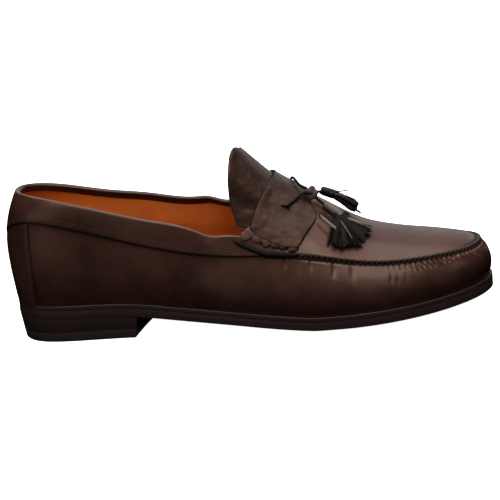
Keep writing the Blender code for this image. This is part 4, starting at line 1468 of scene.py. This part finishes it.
def build_apron_stitches(radius):
    """The whip stitches that draw the vamp up to the apron, each over the seam's crest."""
    stations = np.linspace(0, RING, 3000, endpoint=False)
    phase = stitch_phase(stations, APRON_PITCH)
    numbers = np.arange(1, int(phase[-1]))
    where = np.interp(numbers, phase, stations)
    where = where[seam_share(where) > 0.4]
    away = np.array(WHIP_AWAY)
    bm = bmesh.new()
    for station in where:
        skew = np.linspace(-0.5, 0.5, 8) * WHIP_SKEW
        spot = np.array([station])
        line = seam(np.array([station - 0.02, station + 0.02]))
        way = unit(line[1] - line[0])
        wall = wall_rows(spot, 1 - away / 0.034)[:, 0]
        reach = lengths_of(cover_rows(spot, np.linspace(0, 1, 9))[:, 0])[-1]
        cover = cover_rows(spot, away[::-1] / max(reach, 0.01))[:, 0]
        ridge_up = unit(outward_flat(spot)[0] * 0.45 + np.array([0, 0, 0.9]))
        rise = ridge_lift(spot, away[:, None])[:, 0]
        fall = ridge_lift(spot, away[::-1, None])[:, 0]
        lifts = np.concatenate([rise, fall])
        points = np.concatenate([wall, cover]) + ridge_up * (lifts + radius * 0.35)[:, None]
        points = points + way * skew[:, None]
        add_lattice(bm, tube_lattice(points, rounded_radius(8, radius, 0.15), 7, up=way))
    place_piece("apron_stitches", bm, "dark_thread")


def side_surface(outer):
    """The upper's side above the seam, as a fine lattice, and its normals."""
    stations = np.linspace(5, 12, 281)
    if not outer:
        stations = RING - stations[::-1]
    base = cover_rows(stations, np.linspace(0, 1, 60))
    return base.reshape(-1, 3), normals_of(base).reshape(-1, 3)


def on_side(surface, x, z, lift):
    """The place on a side at this x and height, raised off the surface, and its normal."""
    places, normals = surface
    nearest = np.argmin((places[:, 0] - x) ** 2 + (places[:, 2] - z) ** 2)
    return places[nearest] + normals[nearest] * lift, normals[nearest]


# The roll stitches along the strap's lower edge, and the dark thong under them: x and z
# and how wide each stitch is across the roll
ROLL_STITCHES = (
    (0.1462, 0.0676, 0.0021),
    (0.1508, 0.0625, 0.0024),
    (0.1558, 0.0600, 0.0028),
    (0.1610, 0.0580, 0.0027),
    (0.1662, 0.0562, 0.0024),
    (0.1716, 0.0545, 0.0020),
    (0.1768, 0.0523, 0.0016),
)
SEAM_THONG = (
    (0.1402, 0.0586),
    (0.1440, 0.0562),
    (0.1488, 0.0538),
    (0.1540, 0.0514),
    (0.1600, 0.0494),
    (0.1670, 0.0480),
    (0.1740, 0.0474),
    (0.1800, 0.0472),
)


ROLL_LEAN = 0.0022  # how far a roll stitch leans along the strap's end, each way
ROLL_LENGTH = 1.5  # its reach across the end, as a share of its row's width
ROLL_THICK = (0.0028, 0.0036)  # half its width: the first one, and the others
ROLL_FLAT = 0.32  # its height as a share of its width
SEAM_THONG_RADIUS = 0.0018


def build_roll_stitches():
    """The fat thong stitches that roll over each end of the strap, and the seam's thong."""
    bm = bmesh.new()
    dark = bmesh.new()
    rows = np.array(ROLL_STITCHES)
    for outer in (True, False):
        surface = side_surface(outer)
        for i, (x, z, wide) in enumerate(ROLL_STITCHES):
            way = unit(rows[min(i + 1, len(rows) - 1), :2] - rows[max(i - 1, 0), :2])
            across_edge = np.array([-way[1], way[0]]) * (1 if way[0] > 0 else -1)
            steps = np.linspace(-1, 1, 9)
            lean = way[None] * (steps * ROLL_LEAN)[:, None]
            reach = across_edge[None] * (steps * wide * ROLL_LENGTH)[:, None]
            plan = np.array([x, z]) + reach - lean
            lifts = 0.0006 + 0.0016 * (1 - steps**2)
            places = zip(plan, lifts)
            points = np.array([on_side(surface, px, pz, up)[0] for (px, pz), up in places])
            points = spline(np.arange(9), points, np.linspace(0, 8, 17))
            _, normal = on_side(surface, x, z, 0)
            thick = rounded_radius(17, ROLL_THICK[min(i, 1)], 0.30)
            add_lattice(bm, tube_lattice(points, thick, 14, flat=ROLL_FLAT, up=normal), 0.1)
        places = np.array([on_side(surface, x, z, 0.0010)[0] for x, z in SEAM_THONG])
        places = spline(np.arange(len(places)), places, np.linspace(0, len(places) - 1, 60))
        add_lattice(dark, tube_lattice(places, rounded_radius(60, SEAM_THONG_RADIUS, 0.25), 10), 0.0)
    place_piece("roll_stitches", bm, "roll_thong")
    place_piece("seam_thong", dark, "cut_thong")


FLOOR_HALF = 6.0
# The camera: degrees, and metres from the place on the shoe it looks at
CAMERA_TURN = 1.5
CAMERA_RISE = 15.0
CAMERA_ROLL = -4.78
CAMERA_FAR = 1.2
CAMERA_AIM = (0.14925, 0.0, 0.04183)
CAMERA_LENS = 136.4


def build_camera():
    """The camera at the photograph's angle to the shoe, rolled so that the toe stands higher."""
    turn, rise, roll = (math.radians(a) for a in (CAMERA_TURN, CAMERA_RISE, CAMERA_ROLL))
    back = Vector(
        (math.sin(turn) * math.cos(rise), -math.cos(turn) * math.cos(rise), math.sin(rise))
    )
    right = Vector((math.cos(turn), math.sin(turn), 0))
    up = back.cross(right)
    rolled_right = right * math.cos(roll) + up * math.sin(roll)
    rolled_up = up * math.cos(roll) - right * math.sin(roll)
    view = bpy.data.cameras.new("camera")
    view.lens = CAMERA_LENS
    view.sensor_width = 36
    view.clip_start = 0.05
    view.clip_end = 40
    camera = bpy.data.objects.new("camera", view)
    axes = Matrix((rolled_right, rolled_up, back)).transposed().to_4x4()
    place = Vector(CAMERA_AIM) - Vector(MIDDLE) + back * CAMERA_FAR
    camera.matrix_world = Matrix.Translation(place) @ axes
    bpy.context.scene.collection.objects.link(camera)
    bpy.context.scene.camera = camera


# Soft boxes: name, place, what they point at, width, height, power in watts
SOFT_BOXES = (
    ("overhead", (0.05, 0.10, 1.05), (0.0, 0.0, 0.0), 1.40, 1.10, 14.0),
    ("behind", (0.10, 1.02, 0.56), (0.0, 0.0, 0.05), 2.00, 1.10, 4.5),
    ("front_high", (0.05, -0.75, 1.05), (0.0, 0.0, 0.05), 1.20, 0.40, 8.0),
    ("heel_side", (-0.95, -1.15, 0.45), (-0.08, 0.0, 0.05), 0.90, 0.60, 1.6),
    ("toe_side", (1.20, -0.45, 0.55), (0.08, 0.0, 0.04), 0.40, 0.50, 0.8),
)
SURROUND = ((0.43, 0.06), (0.62, 0.38))  # the room's brightness below and above the horizon


def build_surround():
    """An even pale room that lights the shoe from above, and isn't mirrored in it."""
    world = bpy.data.worlds.new("surround")
    world.use_nodes = True
    tree = world.node_tree
    place = new_node(tree, "ShaderNodeTexCoord").outputs["Generated"]
    height_value = new_node(tree, "ShaderNodeSeparateXYZ", {"Vector": place}).outputs["Z"]
    (low, dark), (high, bright) = SURROUND
    strength = ramp(tree, height_value, 2 * low - 1, 2 * high - 1, dark, bright)
    tree.links.new(strength, tree.nodes["Background"].inputs["Strength"])
    tree.nodes["Background"].inputs["Color"].default_value = (1, 0.97, 0.95, 1)
    bpy.context.scene.world = world
    world.cycles_visibility.glossy = False


def build_stage():
    """The floor, the soft boxes and the surround, shown without a film curve."""
    bm = bmesh.new()
    bmesh.ops.create_grid(bm, x_segments=1, y_segments=1, size=FLOOR_HALF)
    mesh = bpy.data.meshes.new("floor")
    bm.to_mesh(mesh)
    bm.free()
    floor = bpy.data.objects.new("floor", mesh)
    floor.data.materials.append(finish_of("matt_floor"))
    bpy.context.scene.collection.objects.link(floor)
    floor.location.z = -0.0002
    floor.visible_glossy = False
    floor.visible_diffuse = False
    for name, place, target, width, tall, power in SOFT_BOXES:
        box = bpy.data.lights.new(name, "AREA")
        box.shape = "RECTANGLE"
        box.size = width
        box.size_y = tall
        box.energy = power
        lamp = bpy.data.objects.new(name, box)
        lamp.location = place
        lamp.rotation_euler = (Vector(target) - Vector(place)).to_track_quat("-Z", "Y").to_euler()
        bpy.context.scene.collection.objects.link(lamp)
    build_surround()
    bpy.context.scene.view_settings.view_transform = "Standard"


def colour_property(name, description, hex_colour):
    return bpy.props.FloatVectorProperty(
        name=name, description=description, subtype="COLOR", min=0, max=1, default=linear(hex_colour)
    )


class LoaferColours(bpy.types.PropertyGroup):
    """Colours of the leathers, edges and threads"""

    calf: colour_property("Calf", "Polished calf of the upper", "#38211a")
    strap: colour_property("Strap calf", "Calf of the saddle strap and the tongue", "#20130f")
    raw: colour_property("Raw edge", "Cut edges of the overlays", "#120b0a")
    # Lighter calf: rubbed wear, and the painted highlight below the apron seam, over the apron and on
    # the near rim of the collar
    lighter_tone: colour_property("Rubbed calf", "Calf where the dye is rubbed thin", "#6b4033")
    lining: colour_property("Lining", "Tan calf lining", "#bd5f14")
    lining_dark: colour_property("Lining, low", "Lining where it is stained and in shade", "#913f0d")
    edge: colour_property("Edge", "Inked edge of the sole and heel", "#231816")
    edge_worn: colour_property("Edge, rubbed", "Layers in the inked edge", "#2e211e")
    rubber: colour_property("Rubber", "Top lift of the heel", "#1f1817")
    thread: colour_property("Seam thread", "Thread of the apron's whip stitches", "#1b1210")
    seam_thread: colour_property("Band thread", "Thread of the collar band's seams", "#33251f")
    thong: colour_property("Thong", "Lace and tassels", "#14100e")
    # Paler thong: the painted highlight on the knot and on the tassel heads' tops, and a few paler
    # strips
    thong_pale_and_highlight: colour_property("Thong, pale", "Raw face of a few cut strips", "#6f5f58")
    roll: colour_property("Roll stitches", "Thong of the roll stitches", "#5d433c")
    floor: colour_property("Floor", "Studio floor", "#ffffff")


class LoaferStitching(bpy.types.PropertyGroup):
    """Sizes of the stitches and of the gathers at the seam"""

    band_pitch: bpy.props.FloatProperty(
        name="Band stitch", description="One stitch and its gap", default=0.0030, unit="LENGTH"
    )
    band_thread: bpy.props.FloatProperty(
        name="Band thread", description="Thread radius", default=0.00030, unit="LENGTH"
    )
    apron_thread: bpy.props.FloatProperty(
        name="Apron thread", description="Thread radius", default=0.00062, unit="LENGTH"
    )
    pucker_depth: bpy.props.FloatProperty(
        name="Puckers", description="Depth of the gathers at the toe", default=0.0015, unit="LENGTH"
    )


class PieceOperator:
    bl_options = {"REGISTER", "UNDO"}


class MakeCamera(PieceOperator, bpy.types.Operator):
    """Place the camera"""

    bl_idname = "loafer.camera"
    bl_label = "Camera"

    def execute(self, context):
        build_camera()
        return {"FINISHED"}


class MakeTassels(PieceOperator, bpy.types.Operator):
    """Make the knot and both tassels"""

    bl_idname = "loafer.tassels"
    bl_label = "Knot and tassels"

    def execute(self, context):
        build_knot()
        build_tassel("near_fringe", "near_tassel", NEAR_TASSEL, 11, 0.9)
        build_tassel("far_fringe", "far_tassel", FAR_TASSEL, 12, 0.2)
        return {"FINISHED"}


class MakeLaces(PieceOperator, bpy.types.Operator):
    """Run both ends of the lace"""

    bl_idname = "loafer.laces"
    bl_label = "Laces"

    def execute(self, context):
        build_laces()
        return {"FINISHED"}


class MakeUpper(PieceOperator, bpy.types.Operator):
    """Make the vamp, quarters, apron and lining"""

    bl_idname = "loafer.upper"
    bl_label = "Upper and lining"

    def execute(self, context):
        build_wall(context.scene.loafer_stitching.pucker_depth)
        build_apron()
        build_lining()
        return {"FINISHED"}


class MakeOverlays(PieceOperator, bpy.types.Operator):
    """Make the collar band and the strip up the back"""

    bl_idname = "loafer.overlays"
    bl_label = "Collar band and back strip"

    def execute(self, context):
        build_band()
        build_back_strip()
        return {"FINISHED"}


class MakeTongueAndStrap(PieceOperator, bpy.types.Operator):
    """Make the tongue and the saddle strap"""

    bl_idname = "loafer.strap"
    bl_label = "Tongue and strap"

    def execute(self, context):
        build_tongue()
        build_strap()
        return {"FINISHED"}


class MakeSole(PieceOperator, bpy.types.Operator):
    """Make the outsole, welt, heel and sock lining"""

    bl_idname = "loafer.sole"
    bl_label = "Sole and heel"

    def execute(self, context):
        build_sole()
        build_heel()
        build_sock()
        return {"FINISHED"}


class MakeStitches(PieceOperator, bpy.types.Operator):
    """Sew the apron seam, the collar band and the strap's ends"""

    bl_idname = "loafer.stitches"
    bl_label = "Stitches"

    def execute(self, context):
        sizes = context.scene.loafer_stitching
        build_apron_stitches(sizes.apron_thread)
        build_band_stitches(sizes.band_pitch, sizes.band_thread)
        build_roll_stitches()
        return {"FINISHED"}


class MakeStage(PieceOperator, bpy.types.Operator):
    """Lay the floor and set the lights"""

    bl_idname = "loafer.stage"
    bl_label = "Stage"

    def execute(self, context):
        build_stage()
        return {"FINISHED"}


OPERATORS = (
    MakeCamera,
    MakeTassels,
    MakeLaces,
    MakeUpper,
    MakeOverlays,
    MakeTongueAndStrap,
    MakeSole,
    MakeStitches,
    MakeStage,
)


class LoaferPanel(bpy.types.Panel):
    """The loafer's pieces, colours and stitch sizes"""

    bl_idname = "VIEW3D_PT_loafer"
    bl_label = "Tassel loafer"
    bl_space_type = "VIEW_3D"
    bl_region_type = "UI"
    bl_category = "Loafer"

    def draw(self, context):
        for maker in OPERATORS:
            self.layout.operator(maker.bl_idname)
        for group in (context.scene.loafer_colours, context.scene.loafer_stitching):
            for name in group.__annotations__:
                self.layout.prop(group, name)


CLASSES = (LoaferColours, LoaferStitching, *OPERATORS, LoaferPanel)


def register():
    for each in CLASSES:
        bpy.utils.register_class(each)
    bpy.types.Scene.loafer_colours = bpy.props.PointerProperty(type=LoaferColours)
    bpy.types.Scene.loafer_stitching = bpy.props.PointerProperty(type=LoaferStitching)


def unregister():
    del bpy.types.Scene.loafer_stitching
    del bpy.types.Scene.loafer_colours
    for each in reversed(CLASSES):
        bpy.utils.unregister_class(each)


def main():
    register()
    for maker in OPERATORS:
        group, name = maker.bl_idname.split(".")
        getattr(getattr(bpy.ops, group), name)()


if __name__ == "__main__":
    main()
